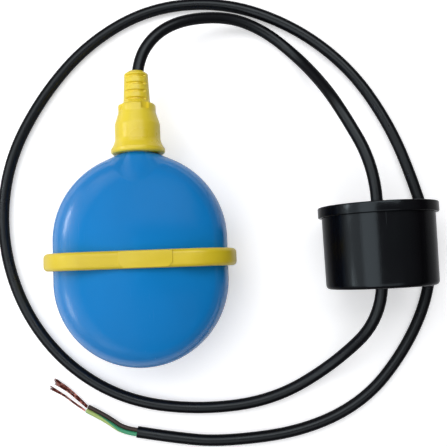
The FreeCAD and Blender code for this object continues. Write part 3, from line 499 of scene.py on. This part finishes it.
def notch_floor(place, turn):
    """Greatest radius that the flat-floored notches leave at the cap's shoulder.

    It is the floor's height over the cosine of the turn from a notch's
    middle, and clear of the cap past the notch's walls and its end.
    """
    low = SHOULDER + CAP_LEVELS[4] - NOTCH_HEIGHT
    share = TURN / NOTCH_COUNT
    from_notch = (math.pi / 2 - NOTCH_TURN - turn + share / 2) % share - share / 2
    floor = (CAP_SHOULDER_RADIUS - NOTCH_DEPTH) / np.cos(from_notch)
    off = np.abs(floor * np.sin(from_notch))
    wall = ramp(off, NOTCH_HALF_WIDTH - GROOVE_LIP / 2, NOTCH_HALF_WIDTH + GROOVE_LIP / 2)
    end = 1 - ramp(place, low - GROOVE_LIP / 2, low + GROOVE_LIP / 2)
    closed = np.maximum(wall[None, :], end)
    return floor[None, :] + closed * CLEAR_OF_CAP


# ---- counterweight, in levels along its axis from the lid's outer face ----

WEIGHT_LENGTH = 42.4 * MM
FLANGE_RADIUS = 30.8 * MM
FLANGE_THICKNESS = 5.5 * MM
WEIGHT_SOCKET = 29.05 * MM
WEIGHT_RADIUS = 29.0 * MM
WEIGHT_DRAFT = 0.4 * MM
WEIGHT_WALL = 2.0 * MM
WEIGHT_TUBE = 6.6 * MM
TUBE_FIT = 0.05 * MM
GRIP_POCKET = 4.65 * MM
GRIP_END = 11.0 * MM
WEIGHT_BORE = 4.0 * MM
MOUTH_FLARE = 1.4 * MM
MOUTH_LENGTH = 12.1 * MM
FIN_REACH = 22.0 * MM
FIN_HALF = 1.0 * MM
FIN_END = 24.4 * MM
FIN_COUNT = 6
WEIGHT_COLUMNS = 256
CUP_EDGE_CUT = 2.6 * MM         # how far from a corner its rounding starts
CUP_INNER_CUT = 1.0 * MM
FLANGE_EDGE_CUT = 0.9 * MM


def weight_frame():
    """Start, axis and two directions square to it, one of them level."""
    axis = WEIGHT_AXIS / np.linalg.norm(WEIGHT_AXIS)
    level = np.cross(axis, (0, 0, 1))
    level /= np.linalg.norm(level)
    return WEIGHT_START * MM, axis, level, np.cross(level, axis)


def turned_on_weight(name, profile):
    """A closed (level, radius) profile turned about the counterweight's axis."""
    start, axis, level, up = weight_frame()
    turn = np.linspace(0, TURN, WEIGHT_COLUMNS, endpoint=False)
    along = profile[:, 0][:, None, None] * axis
    radial = np.cos(turn)[:, None] * level + np.sin(turn)[:, None] * up
    points = start + along + profile[:, 1][:, None, None] * radial[None]
    return piece_from_grid(name, joined_rows(points, points[:1]))


def make_weight_cup():
    """Drafted cup, rounded at its far edge, with a hole for the lid's tube."""
    far = WEIGHT_LENGTH
    floor = far - WEIGHT_WALL
    hole = WEIGHT_TUBE + TUBE_FIT
    wide, slim = WEIGHT_RADIUS, WEIGHT_RADIUS - WEIGHT_DRAFT
    outer = softened([(WEIGHT_WALL, wide), (far, slim), (far, hole)], CUP_EDGE_CUT, steps=9)
    inner = softened([(floor, hole), (floor, slim - WEIGHT_WALL), (WEIGHT_WALL, wide - WEIGHT_WALL)],
                     CUP_INNER_CUT, steps=5)
    return turned_on_weight("weight_cup", np.concatenate([outer, inner]))


def make_weight_lid():
    """Flanged lid with a rounded edge, the cable's tube, its flared mouth and the grip's pocket."""
    rim = softened([
        (0, GRIP_POCKET), (0, FLANGE_RADIUS), (FLANGE_THICKNESS, FLANGE_RADIUS),
        (FLANGE_THICKNESS, WEIGHT_SOCKET),
    ], FLANGE_EDGE_CUT, steps=6)
    rest = np.array([
        (WEIGHT_WALL, WEIGHT_SOCKET), (WEIGHT_WALL, WEIGHT_TUBE), (WEIGHT_LENGTH, WEIGHT_TUBE),
        (WEIGHT_LENGTH, WEIGHT_BORE + MOUTH_FLARE), (WEIGHT_LENGTH - MOUTH_LENGTH, WEIGHT_BORE),
        (GRIP_END, WEIGHT_BORE), (GRIP_END, GRIP_POCKET),
    ])
    return turned_on_weight("weight_lid", np.concatenate([rim, rest]))


def make_lid_fins():
    """Slim ribs from the lid's tube outwards, which hold the ballast down."""
    start, axis, level, up = weight_frame()
    turns = np.arange(FIN_COUNT) * TURN / FIN_COUNT
    radial = np.cos(turns)[:, None] * level + np.sin(turns)[:, None] * up
    beside = np.cross(axis, radial)
    square = [(WEIGHT_TUBE, -1), (FIN_REACH, -1), (FIN_REACH, 1), (WEIGHT_TUBE, 1)]
    ring = np.stack([reach * radial + side * FIN_HALF * beside for reach, side in square], axis=1)
    near = start + WEIGHT_WALL * axis + ring
    far = start + FIN_END * axis + ring
    verts = np.concatenate([near, far], axis=1).reshape(-1, 3)
    quads = np.array([
        (0, 1, 5, 4), (1, 2, 6, 5), (2, 3, 7, 6), (3, 0, 4, 7), (3, 2, 1, 0), (4, 5, 6, 7),
    ])
    faces = (np.arange(FIN_COUNT)[:, None, None] * 8 + quads[None]).reshape(-1, 4)
    mesh = bpy.data.meshes.new("lid_fins")
    mesh.from_pydata(verts.tolist(), [], faces.tolist())
    return finished_piece("lid_fins", mesh, sharp_degrees=30)


# ---- cable, cores and strands ----

CABLE_DIAMETER = 6.2 * MM
CORE_DIAMETER = 2.3             # this and the next two are in millimetres, as the routes are
CORE_SPREAD = 0.06
CORE_LEVEL = 1.25               # of the lowest core's middle on the floor
CORE_RADIUS = CORE_DIAMETER / 2 * MM
CORE_TURNS = {"brown": 150.0, "black": 270.0, "earth": 30.0}    # degrees round the cable
CORE_ROUTE = [
    ROUTE_ON_FLOOR[-1], (-15.0, -114.4), (-21.9, -109.3), (-28.4, -105.3), (-34.5, -102.0),
]
STRANDS_ROUTES = {
    "brown": [(-34.4, -100.9, 3.2), (-40.8, -94.6, 2.1), (-47.3, -89.2, 1.2), (-53.4, -85.4, 1.6)],
    "black": [(-35.0, -101.8, 1.2), (-41.3, -96.1, 0.9), (-48.2, -90.4, 0.8), (-53.0, -87.4, 0.8)],
    "earth": [(-35.6, -103.2, 3.2), (-42.7, -98.5, 1.9), (-48.7, -93.7, 0.9), (-56.2, -90.0, 0.8)],
}
AXIS_POINT = 16.5               # one more point on the straight stretch in the counterweight
CORE_RINGS = 90
CORE_SIDES = 28
CUT_END_SHARES = (0.97, 0.86)   # of the radius, in the last two rings


def cable_points():
    """The cable's whole route, with its straight stretch on the counterweight's axis."""
    levels = (WEIGHT_IN, AXIS_POINT, WEIGHT_OUT)
    through = [tuple(WEIGHT_START + WEIGHT_AXIS * level) for level in levels]
    on_floor = [(x, y, CABLE_LEVEL) for x, y in ROUTE_ON_FLOOR]
    return ROUTE_TO_WEIGHT + through + [ROUTE_DOWN] + on_floor


def smooth_line(name, points, bevel=0.0, resolution=10):
    """A curve of one open NURBS line with these control points, in millimetres."""
    curve = bpy.data.curves.new(name, "CURVE")
    curve.dimensions = "3D"
    spline = curve.splines.new("NURBS")
    spline.points.add(len(points) - 1)
    flat = np.column_stack([np.array(points) * MM, np.ones(len(points))])
    spline.points.foreach_set("co", flat.ravel())
    spline.order_u = 3
    spline.use_endpoint_u = True
    curve.resolution_u = resolution
    curve.bevel_depth = bevel
    curve.bevel_resolution = 10
    curve.use_fill_caps = True
    return add_object(name, curve)


def points_on_line(points, count):
    """Evenly spread points on the smooth line with these control points, in metres."""
    line = smooth_line("line_to_read", points, resolution=24)
    line.data.use_fill_caps = False
    bpy.context.view_layer.update()
    mesh = bpy.data.meshes.new_from_object(line)
    read = np.empty(len(mesh.vertices) * 3)
    mesh.vertices.foreach_get("co", read)
    bpy.data.objects.remove(line)
    bpy.data.meshes.remove(mesh)
    read = read.reshape(-1, 3)
    length = np.append(0, np.cumsum(np.linalg.norm(np.diff(read, axis=0), axis=1)))
    even = np.linspace(0, length[-1], count)
    return np.stack([np.interp(even, length, read[:, axis]) for axis in range(3)], axis=1)


def directions(path):
    """Along, across and up directions at each point of a path that lies nearly level."""
    along = np.gradient(path, axis=0)
    along /= np.linalg.norm(along, axis=1, keepdims=True)
    across = np.cross(along, (0, 0, 1))
    across /= np.linalg.norm(across, axis=1, keepdims=True)
    return along, across, np.cross(across, along)


def tube_rows(path, radius, count):
    """Rings round a path; a radius for each point, closed to a point at both ends."""
    _, across, up = directions(path)
    turn = np.linspace(0, TURN, count, endpoint=False)
    radial = np.cos(turn)[None, :, None] * across[:, None] + np.sin(turn)[None, :, None] * up[:, None]
    rings = path[:, None] + np.broadcast_to(radius, len(path))[:, None, None] * radial
    caps = [np.broadcast_to(path[end], (1, count, 3)) for end in (0, -1)]
    return joined_rows(caps[0], rings, caps[1])


def tube_uv(path, count):
    """How far round and how far along, in metres, for each point of a tube's grid."""
    length = np.append(0, np.cumsum(np.linalg.norm(np.diff(path, axis=0), axis=1)))
    along = np.concatenate([length[:1], length, length[-1:]])
    around = np.arange(count) / count
    return np.stack(np.broadcast_arrays(around[None, :], along[:, None]), axis=2)


def core_points(name):
    """One core beside the middle line: at its place in the cable, sinking to the floor."""
    spread = (CORE_DIAMETER + CORE_SPREAD) / math.sqrt(3)
    turn = math.radians(CORE_TURNS[name])
    side, up = spread * math.cos(turn), spread * math.sin(turn)
    middle = np.array(CORE_ROUTE)
    along = np.gradient(middle, axis=0)
    along /= np.linalg.norm(along, axis=1, keepdims=True)
    across = np.column_stack([-along[:, 1], along[:, 0]])
    level = np.full(len(middle), CORE_LEVEL + up + spread)
    level[0] = CABLE_LEVEL + up
    return np.column_stack([middle + across * side, level])


def make_core(name):
    """Insulated core as a tube whose cut end is drawn in."""
    path = points_on_line(core_points(name), CORE_RINGS)
    radius = np.full(len(path), CORE_RADIUS)
    radius[-2:] *= CUT_END_SHARES
    rows = tube_rows(path, radius, CORE_SIDES)
    uv = tube_uv(path, CORE_SIDES)
    return piece_from_grid("core_" + name + "_skin", rows, sharp_degrees=50, uv=uv)


STRANDS_IN_CORE = 19
STRAND_SIDES = 8
STRAND_RINGS = 40
GOLDEN_ANGLE = 2.399963         # spreads the strands evenly over the bundle
LAY_ANGLE = 2.2                 # of the strands round their bundle, from end to end
STRAND_RADIUS = 0.125 * MM
BUNDLE_RADIUS = 0.46 * MM


def make_strands(name, seed):
    """Fine bare strands: each winds slowly round its bundle and strays outwards near its tip.

    A strand's offset is its place in the bundle turned by the lay angle,
    grown by the cube of the share of the way along, and its own length
    differs a little, so the tips fan out.
    """
    random = np.random.default_rng(seed)
    path = points_on_line(STRANDS_ROUTES[name], STRAND_RINGS)
    tubes = []
    places = np.sqrt((np.arange(STRANDS_IN_CORE) + 0.5) / STRANDS_IN_CORE) * BUNDLE_RADIUS
    turns = np.arange(STRANDS_IN_CORE) * GOLDEN_ANGLE + random.uniform(0, 0.4, STRANDS_IN_CORE)
    _, across, up = directions(path)
    share = np.linspace(0, 1, len(path))
    for place, turn in zip(places, turns):
        stray = random.uniform(0.2, 1.6) * BUNDLE_RADIUS * share ** 3
        angle = turn + LAY_ANGLE * share + random.uniform(-0.5, 0.5) * share ** 2
        offset = (place + stray)[:, None]
        line = path + offset * (np.cos(angle)[:, None] * across + np.sin(angle)[:, None] * up)
        line[:, 2] = np.maximum(line[:, 2], STRAND_RADIUS)
        kept = int(len(line) * random.uniform(0.90, 1.0))
        tubes.append(tube_rows(line[:kept], STRAND_RADIUS, STRAND_SIDES))
    starts = np.cumsum([0] + [len(rows) * STRAND_SIDES for rows in tubes[:-1]])
    faces = [grid_faces(len(rows), STRAND_SIDES) + start for rows, start in zip(tubes, starts)]
    verts = np.concatenate([rows.reshape(-1, 3) for rows in tubes])
    mesh = bpy.data.meshes.new("strands_" + name + "_wires")
    mesh.from_pydata(verts.tolist(), [], np.concatenate(faces).tolist())
    return finished_piece("strands_" + name + "_wires", mesh, sharp_degrees=60)


# ---- helpers for materials ----

def tone(red, green, blue):
    """A colour for a shader from the red, green and blue, 0 to 255, that it shows on a screen."""
    share = np.array([red, green, blue]) / 255
    linear = np.where(share <= 0.04045, share / 12.92, ((share + 0.055) / 1.055) ** 2.4)
    return (*linear.tolist(), 1.0)


def add_node(tree, kind, inputs=None, **settings):
    """Add a node, make its settings, and feed its inputs with values or other nodes' outputs."""
    node = tree.nodes.new(kind)
    for setting, value in settings.items():
        setattr(node, setting, value)
    for socket, value in (inputs or {}).items():
        if isinstance(value, bpy.types.NodeSocket):
            tree.links.new(value, node.inputs[socket])
        else:
            node.inputs[socket].default_value = value
    return node


def new_group(name, inputs, outputs):
    """A shader node group with these sockets: (name, socket type, default) and (name, socket type)."""
    tree = bpy.data.node_groups.new(name, "ShaderNodeTree")
    for socket, kind, default in inputs:
        made = tree.interface.new_socket(socket, in_out="INPUT", socket_type=kind)
        if default is not None:
            made.default_value = default
    for socket, kind in outputs:
        tree.interface.new_socket(socket, in_out="OUTPUT", socket_type=kind)
    return tree, tree.nodes.new("NodeGroupInput"), tree.nodes.new("NodeGroupOutput")


def new_material(name, colour, roughness, metallic=0.0, specular=0.5):
    """A material with these plain settings on its shader, and its tree and shader to build on."""
    material = bpy.data.materials.new(name)
    material.use_nodes = True
    shader = material.node_tree.nodes["Principled BSDF"]
    shader.inputs["Base Color"].default_value = colour
    shader.inputs["Roughness"].default_value = roughness
    shader.inputs["Metallic"].default_value = metallic
    shader.inputs["Specular IOR Level"].default_value = specular
    return material, material.node_tree, shader


def make_moulded_skin_group():
    """Relief of a moulded surface: soft unevenness, fine pebbling and scattered hair scratches.

    Its height is the sum of wide noise, fine noise and the thin bright bands
    of a stretched noise, and its mottle is the wide noise alone.
    """
    tree, given, result = new_group(
        "moulded_skin",
        [("Vector", "NodeSocketVector", None), ("Wide", "NodeSocketFloat", 60.0),
         ("Fine", "NodeSocketFloat", 1500.0), ("Scratches", "NodeSocketFloat", 0.3),
         ("Depth", "NodeSocketFloat", 0.0001)],
        [("Normal", "NodeSocketVector"), ("Mottle", "NodeSocketFloat"), ("Scratch", "NodeSocketFloat")])
    vector = given.outputs["Vector"]
    wide = add_node(tree, "ShaderNodeTexNoise", {
        "Vector": vector, "Scale": given.outputs["Wide"], "Detail": 3.0, "Roughness": 0.5})
    fine = add_node(tree, "ShaderNodeTexNoise", {
        "Vector": vector, "Scale": given.outputs["Fine"], "Detail": 2.0})
    stretched = add_node(tree, "ShaderNodeMapping", {
        "Vector": vector, "Rotation": (0.3, 0.2, 0.7), "Scale": (1.0, 0.04, 1.0)})
    lines = add_node(tree, "ShaderNodeTexNoise", {
        "Vector": stretched.outputs["Vector"], "Scale": 900.0, "Detail": 1.0})
    scratch = add_node(tree, "ShaderNodeMapRange", {
        "Value": lines.outputs["Fac"], "From Min": 0.70, "From Max": 0.78}, clamp=True)
    marked = add_node(tree, "ShaderNodeMath", {
        0: scratch.outputs["Result"], 1: given.outputs["Scratches"]}, operation="MULTIPLY")
    relief = add_node(tree, "ShaderNodeMath", {
        0: wide.outputs["Fac"], 1: 3.0, 2: fine.outputs["Fac"]}, operation="MULTIPLY_ADD")
    height = add_node(tree, "ShaderNodeMath", {
        0: relief.outputs["Value"], 1: marked.outputs["Value"]}, operation="SUBTRACT")
    bump = add_node(tree, "ShaderNodeBump", {
        "Strength": 1.0, "Distance": given.outputs["Depth"], "Height": height.outputs["Value"]})
    tree.links.new(bump.outputs["Normal"], result.inputs["Normal"])
    tree.links.new(wide.outputs["Fac"], result.inputs["Mottle"])
    tree.links.new(marked.outputs["Value"], result.inputs["Scratch"])
    return tree


def moulded(name, colour, deep, roughness, spread=0.08, metallic=0.0, specular=0.5, **relief):
    """A moulded or cast surface: two near shades mottled together, and uneven gloss and relief."""
    material, tree, shader = new_material(name, colour, roughness, metallic, specular)
    place = add_node(tree, "ShaderNodeTexCoord")
    skin = add_node(tree, "ShaderNodeGroup", node_tree=SKIN_GROUP)
    tree.links.new(place.outputs["Object"], skin.inputs["Vector"])
    for socket, value in relief.items():
        skin.inputs[socket.title()].default_value = value
    shades = add_node(tree, "ShaderNodeMapRange", {
        "Value": skin.outputs["Mottle"], "From Min": 0.35, "From Max": 0.65}, clamp=True)
    mixed = add_node(tree, "ShaderNodeMix", {
        "Factor": shades.outputs["Result"], "A": deep, "B": colour}, data_type="RGBA")
    gloss = add_node(tree, "ShaderNodeMapRange", {
        "Value": skin.outputs["Mottle"], "From Min": 0.3, "From Max": 0.7,
        "To Min": roughness - spread / 2, "To Max": roughness + spread / 2})
    rough = add_node(tree, "ShaderNodeMath", {
        0: skin.outputs["Scratch"], 1: 0.25, 2: gloss.outputs["Result"]}, operation="MULTIPLY_ADD")
    tree.links.new(mixed.outputs["Result"], shader.inputs["Base Color"])
    tree.links.new(rough.outputs["Value"], shader.inputs["Roughness"])
    tree.links.new(skin.outputs["Normal"], shader.inputs["Normal"])
    return material


SKIN_GROUP = make_moulded_skin_group()


# ---- materials ----

def set_sheen(material, low, high, facing_level, edge_level, tint=(1, 1, 1, 1)):
    """Let mirrored light, with its tint, run from one level face on to another at the edges."""
    tree = material.node_tree
    facing = add_node(tree, "ShaderNodeLayerWeight", {"Blend": 0.5})
    sheen = add_node(tree, "ShaderNodeMapRange", {
        "Value": facing.outputs["Facing"], "From Min": low, "From Max": high,
        "To Min": facing_level, "To Max": edge_level}, clamp=True)
    shader = tree.nodes["Principled BSDF"]
    tree.links.new(sheen.outputs["Result"], shader.inputs["Specular IOR Level"])
    shader.inputs["Specular Tint"].default_value = tint
    return material


def make_float_blue():
    """Blow-moulded blue plastic, dull when faced and glossy towards its sides."""
    blue = moulded("float_blue", (0.006, 0.205, 0.562, 1), (0.006, 0.194, 0.531, 1), 0.22,
                   wide=35.0, fine=900.0, scratches=0.25, depth=0.00003)
    return set_sheen(blue, 0.115, 0.185, facing_level=0.08, edge_level=0.75)


def make_band_yellow():
    """Satin yellow plastic of the band."""
    return moulded("band_yellow", tone(222, 197, 34), tone(217, 191, 31), 0.34,
                   specular=0.6, wide=80.0, fine=1600.0, scratches=0.4, depth=0.00003)


def make_gland_yellow():
    """Brighter, a little glossier yellow of the gland cap."""
    return moulded("gland_yellow", tone(234, 210, 50), tone(229, 203, 46), 0.30,
                   specular=0.65, wide=90.0, fine=1600.0, scratches=0.3, depth=0.00002)


def make_weight_black():
    """Satin black plastic of the counterweight, duller towards its edges."""
    black = moulded("weight_black", tone(7, 7, 9), tone(11, 10, 13), 0.18,
                    wide=45.0, fine=1400.0, scratches=0.5, depth=0.00003)
    return set_sheen(black, 0.14, 0.30, facing_level=0.42, edge_level=0.04,
                     tint=(0.78, 0.92, 1.0, 1))


def make_cable_black():
    """Flexible black jacket with a dull sheen."""
    black = moulded("cable_black", tone(9, 9, 12), tone(13, 12, 16), 0.30,
                    wide=120.0, fine=2200.0, scratches=0.3, depth=0.00003)
    return set_sheen(black, 0.08, 0.30, facing_level=0.42, edge_level=0.06,
                     tint=(0.85, 0.95, 1.0, 1))


STRIPE_TURN = 0.82              # share of a turn by which the stripe starts round the core
STRIPE_LAY = 17.0               # turns in a metre
STRIPE_FADE = (0.17, 0.19)      # shares of a turn from its middle, where it starts and ends fading


def make_earth_core():
    """Green insulation with a yellow stripe that winds along it.

    The stripe shows where the turn round the core, with the lay times the
    distance along it, falls within the stripe's share of a whole turn.
    """
    material, tree, shader = new_material("earth_core", tone(40, 150, 90), 0.38)
    place = add_node(tree, "ShaderNodeUVMap", uv_map="UVMap")
    parts = add_node(tree, "ShaderNodeSeparateXYZ", {"Vector": place.outputs["UV"]})
    wound = add_node(tree, "ShaderNodeMath", {
        0: parts.outputs["Y"], 1: STRIPE_LAY, 2: parts.outputs["X"]}, operation="MULTIPLY_ADD")
    begun = add_node(tree, "ShaderNodeMath", {0: wound.outputs["Value"], 1: STRIPE_TURN})
    turn = add_node(tree, "ShaderNodeMath", {0: begun.outputs["Value"]}, operation="FRACT")
    off_middle = add_node(tree, "ShaderNodeMath", {0: turn.outputs["Value"], 1: 0.5},
                          operation="SUBTRACT")
    apart = add_node(tree, "ShaderNodeMath", {0: off_middle.outputs["Value"]}, operation="ABSOLUTE")
    stripe = add_node(tree, "ShaderNodeMapRange", {
        "Value": apart.outputs["Value"], "From Min": STRIPE_FADE[0], "From Max": STRIPE_FADE[1],
        "To Min": 1.0, "To Max": 0.0}, clamp=True)
    colour = add_node(tree, "ShaderNodeMix", {
        "Factor": stripe.outputs["Result"], "A": tone(58, 152, 110), "B": tone(166, 188, 106)},
        data_type="RGBA")
    tree.links.new(colour.outputs["Result"], shader.inputs["Base Color"])
    return material


def make_bare_copper():
    """Fine drawn copper: pinkish where bright, browner where it has dulled."""
    material, tree, shader = new_material("bare_copper", tone(205, 130, 100), 0.30, 1.0)
    place = add_node(tree, "ShaderNodeTexCoord")
    dull = add_node(tree, "ShaderNodeTexNoise", {
        "Vector": place.outputs["Object"], "Scale": 500.0, "Detail": 3.0})
    shade = add_node(tree, "ShaderNodeMapRange", {
        "Value": dull.outputs["Fac"], "From Min": 0.5, "From Max": 0.66}, clamp=True)
    colour = add_node(tree, "ShaderNodeMix", {
        "Factor": shade.outputs["Result"], "A": tone(92, 40, 34), "B": tone(214, 150, 136)},
        data_type="RGBA")
    gloss = add_node(tree, "ShaderNodeMapRange", {
        "Value": dull.outputs["Fac"], "From Min": 0.3, "From Max": 0.7, "To Min": 0.45, "To Max": 0.22})
    tree.links.new(colour.outputs["Result"], shader.inputs["Base Color"])
    tree.links.new(gloss.outputs["Result"], shader.inputs["Roughness"])
    return material


def make_finishes():
    """The finish of each material slot, inside and out."""
    return {
        "seal_rubber": moulded("rubber", tone(24, 24, 25), tone(32, 32, 33), 0.62, fine=2500.0),
        "washer_plastic": moulded("washer_white", tone(228, 226, 216), tone(218, 215, 203), 0.45),
        "cartridge_plastic": moulded("cartridge_grey", tone(208, 208, 200), tone(196, 196, 188), 0.42),
        "polished_steel": moulded("ball_steel", tone(208, 208, 210), tone(196, 197, 200), 0.10,
                                  spread=0.04, metallic=1.0, scratches=0.15, depth=0.000003),
        "switch_plastic": moulded("switch_black", tone(30, 30, 32), tone(38, 37, 39), 0.40),
        "plunger_plastic": moulded("plunger_red", tone(176, 38, 30), tone(160, 32, 26), 0.38),
        "spring_steel": moulded("lever_steel", tone(190, 190, 188), tone(172, 172, 172), 0.28,
                                spread=0.1, metallic=1.0, scratches=1.0, depth=0.000004),
        "contact_brass": moulded("contact_brass", tone(212, 176, 98), tone(190, 150, 80), 0.30,
                                 spread=0.1, metallic=1.0, scratches=0.8, depth=0.000004),
        "bare_copper": moulded("inner_copper", tone(200, 128, 96), tone(150, 86, 62), 0.34,
                               spread=0.1, metallic=1.0),
        "potting_resin": moulded("resin_brown", tone(46, 38, 34), tone(58, 48, 42), 0.22),
        "ballast_iron": moulded("cast_iron", tone(88, 84, 80), tone(62, 58, 55), 0.66,
                                spread=0.1, metallic=0.8, wide=200.0, depth=0.0002),
        "cable_jacket": make_cable_black(),
        "core_brown": moulded("brown_core", tone(46, 27, 16), tone(34, 20, 12), 0.42, fine=2500.0),
        "core_black": moulded("black_core", tone(24, 23, 24), tone(32, 30, 31), 0.42, fine=2500.0),
        "core_earth": moulded("inner_earth", tone(54, 150, 84), tone(44, 134, 74), 0.42, fine=2500.0),
        "blue_polypropylene": make_float_blue(),
        "yellow_band_plastic": make_band_yellow(),
        "yellow_gland_plastic": make_gland_yellow(),
        "counterweight_plastic": make_weight_black(),
    }


# ---- the dressed pieces ----

def dress(piece, body, slot, material, *nodes):
    """Give a piece its body and finish, and let it stand for these CAD nodes. The slot is not used."""
    piece.data.materials.append(material)
    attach(piece, body)
    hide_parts(*nodes)
    return piece


def dress_part():
    """Make every visible piece and place it on its body."""
    finish = make_finishes()
    slots = {part["node"]: part["material_slot"] for part in frame["record"]["subparts"]}
    for node, shape in frame["nodes"].items():
        shape.data.materials.clear()
        shape.data.materials.append(finish[slots[node]])

    def put(piece, body, slot, *nodes):
        """Dress a piece in the finish of its slot."""
        return dress(piece, body, slot, finish[slot], *nodes)

    put(make_float_shell(), "float", "blue_polypropylene", "float_shell")
    put(make_band(), "float", "yellow_band_plastic", "float_band")
    put(make_band_plate(), "float", "yellow_band_plastic", "float_band")
    put(make_gland_cap(), "float", "yellow_gland_plastic", "gland_cap")
    on_cable = [
        put(make_weight_cup(), "counterweight", "counterweight_plastic", "counterweight_cup"),
        put(make_weight_lid(), "counterweight", "counterweight_plastic", "counterweight_lid"),
        put(make_lid_fins(), "counterweight", "counterweight_plastic", "counterweight_lid"),
    ]
    for name in CORE_TURNS:
        core = put(make_core(name), "float", "core_" + name, "core_" + name)
        on_cable.append(core)
        if name == "earth":
            core.data.materials[0] = make_earth_core()
    copper = make_bare_copper()
    for seed, name in enumerate(STRANDS_ROUTES):
        strands = make_strands(name, seed)
        on_cable.append(dress(strands, "float", "bare_copper", copper, "strands_" + name))
    cable = smooth_line("cable_line", cable_points(), CABLE_DIAMETER / 2)
    put(cable, "float", "cable_jacket", "cable")


# ---- floor, lights and camera ----

FLOOR_REACH = 3.0
NEAR_GLOW = 0.37                # of the floor, seen by the camera close to the part


def make_floor():
    """A plain pale floor, wide enough for every view, that whitens away from the part.

    It glows a little for the camera alone, and fully past the far distance.
    """
    corners = [(x * FLOOR_REACH, y * FLOOR_REACH, 0)
               for x, y in ((-1, -1), (1, -1), (1, 1), (-1, 1))]
    mesh = bpy.data.meshes.new("floor")
    mesh.from_pydata(corners, [], [(0, 1, 2, 3)])
    floor_white = moulded("floor_white", tone(246, 246, 248), tone(244, 244, 246), 0.7,
                          wide=4.0, fine=300.0, scratches=0.0, depth=0.00005)
    tree = floor_white.node_tree
    shader = tree.nodes["Principled BSDF"]
    path = add_node(tree, "ShaderNodeLightPath")
    place = add_node(tree, "ShaderNodeTexCoord")
    away = add_node(tree, "ShaderNodeVectorMath", {0: place.outputs["Object"]}, operation="LENGTH")
    whiter = add_node(tree, "ShaderNodeMapRange", {
        "Value": away.outputs["Value"], "From Min": 0.45, "From Max": 1.3,
        "To Min": NEAR_GLOW, "To Max": 1.0})
    glow = add_node(tree, "ShaderNodeMath", {
        0: path.outputs["Is Camera Ray"], 1: whiter.outputs["Result"]}, operation="MULTIPLY")
    tree.links.new(glow.outputs["Value"], shader.inputs["Emission Strength"])
    shader.inputs["Emission Color"].default_value = (1, 1, 1, 1)
    mesh.materials.append(floor_white)
    add_object("floor", mesh)


def make_light(name, place, aim, width, height, power, colour=(1, 1, 1)):
    """A rectangular soft light at a place, turned to face a point."""
    light = bpy.data.lights.new(name, "AREA")
    light.shape = "RECTANGLE"
    light.size, light.size_y = width, height
    light.energy = power
    light.color = colour
    lamp = add_object(name, light)
    lamp.location = place
    lamp.rotation_euler = (Vector(aim) - Vector(place)).to_track_quat("-Z", "Y").to_euler()


def make_world():
    """Dim surroundings, paler towards the left, and white where the camera sees them."""
    world = bpy.data.worlds.new("studio")
    bpy.context.scene.world = world
    world.use_nodes = True
    tree = world.node_tree
    tree.nodes.clear()
    facing = add_node(tree, "ShaderNodeTexCoord")
    parts = add_node(tree, "ShaderNodeSeparateXYZ", {"Vector": facing.outputs["Generated"]})
    glow = add_node(tree, "ShaderNodeMapRange", {
        "Value": parts.outputs["X"], "From Min": -0.9, "From Max": -0.1,
        "To Min": 0.35, "To Max": 0.12}, interpolation_type="SMOOTHSTEP", clamp=True)
    path = add_node(tree, "ShaderNodeLightPath")
    lit = add_node(tree, "ShaderNodeBackground", {
        "Color": (0.97, 0.98, 1.0, 1), "Strength": glow.outputs["Result"]})
    seen = add_node(tree, "ShaderNodeBackground", {"Color": (1, 1, 1, 1), "Strength": 1.0})
    mixed = add_node(tree, "ShaderNodeMixShader", {
        0: path.outputs["Is Camera Ray"], 1: lit.outputs[0], 2: seen.outputs[0]})
    result = add_node(tree, "ShaderNodeOutputWorld")
    tree.links.new(mixed.outputs[0], result.inputs["Surface"])


CAMERA_PLACE = (0.0428, -0.0280, 0.405)
CAMERA_TILT = math.radians(3.517)
CAMERA_ROLL = math.radians(-2.055)
SENSOR_WIDTH = 36.0             # this and the focal length are in millimetres
FOCAL_LENGTH = 58.3


def make_camera():
    """Looks down from a little right of and below the middle of the part."""
    camera = bpy.data.cameras.new("camera")
    camera.sensor_width = SENSOR_WIDTH
    camera.lens = FOCAL_LENGTH
    camera.clip_start = 0.01
    holder = add_object("camera", camera)
    holder.location = CAMERA_PLACE
    holder.rotation_euler = (CAMERA_TILT, 0, CAMERA_ROLL)
    bpy.context.scene.camera = holder


dress_part()
make_floor()
make_world()
make_light("softbox", (-0.647, 0.0, 1.2), (-0.647, 0, 0), 0.926, 3.0, 12.7, (0.97, 0.985, 1.0))
make_light("left_sheet", (-1.5, 0.0, 0.85), (0, 0, 0.85), 2.4, 1.3, 4.8)
make_light("back_fill", (0.0, 0.72, 1.2), (0, 0.72, 0), 1.6, 0.95, 11.5)
make_light("front_fill", (0.0, -0.72, 1.2), (0, -0.72, 0), 1.6, 0.95, 3.0)
make_light("upper_glint", (-0.297, 0.075, 0.195), (-0.04, -0.01, 0.04), 0.10, 0.03, 0.12)
make_light("lower_glint", (-0.297, -0.125, 0.195), (-0.04, -0.03, 0.04), 0.09, 0.03, 0.06)
make_camera()
bpy.context.scene.view_settings.view_transform = "Standard"
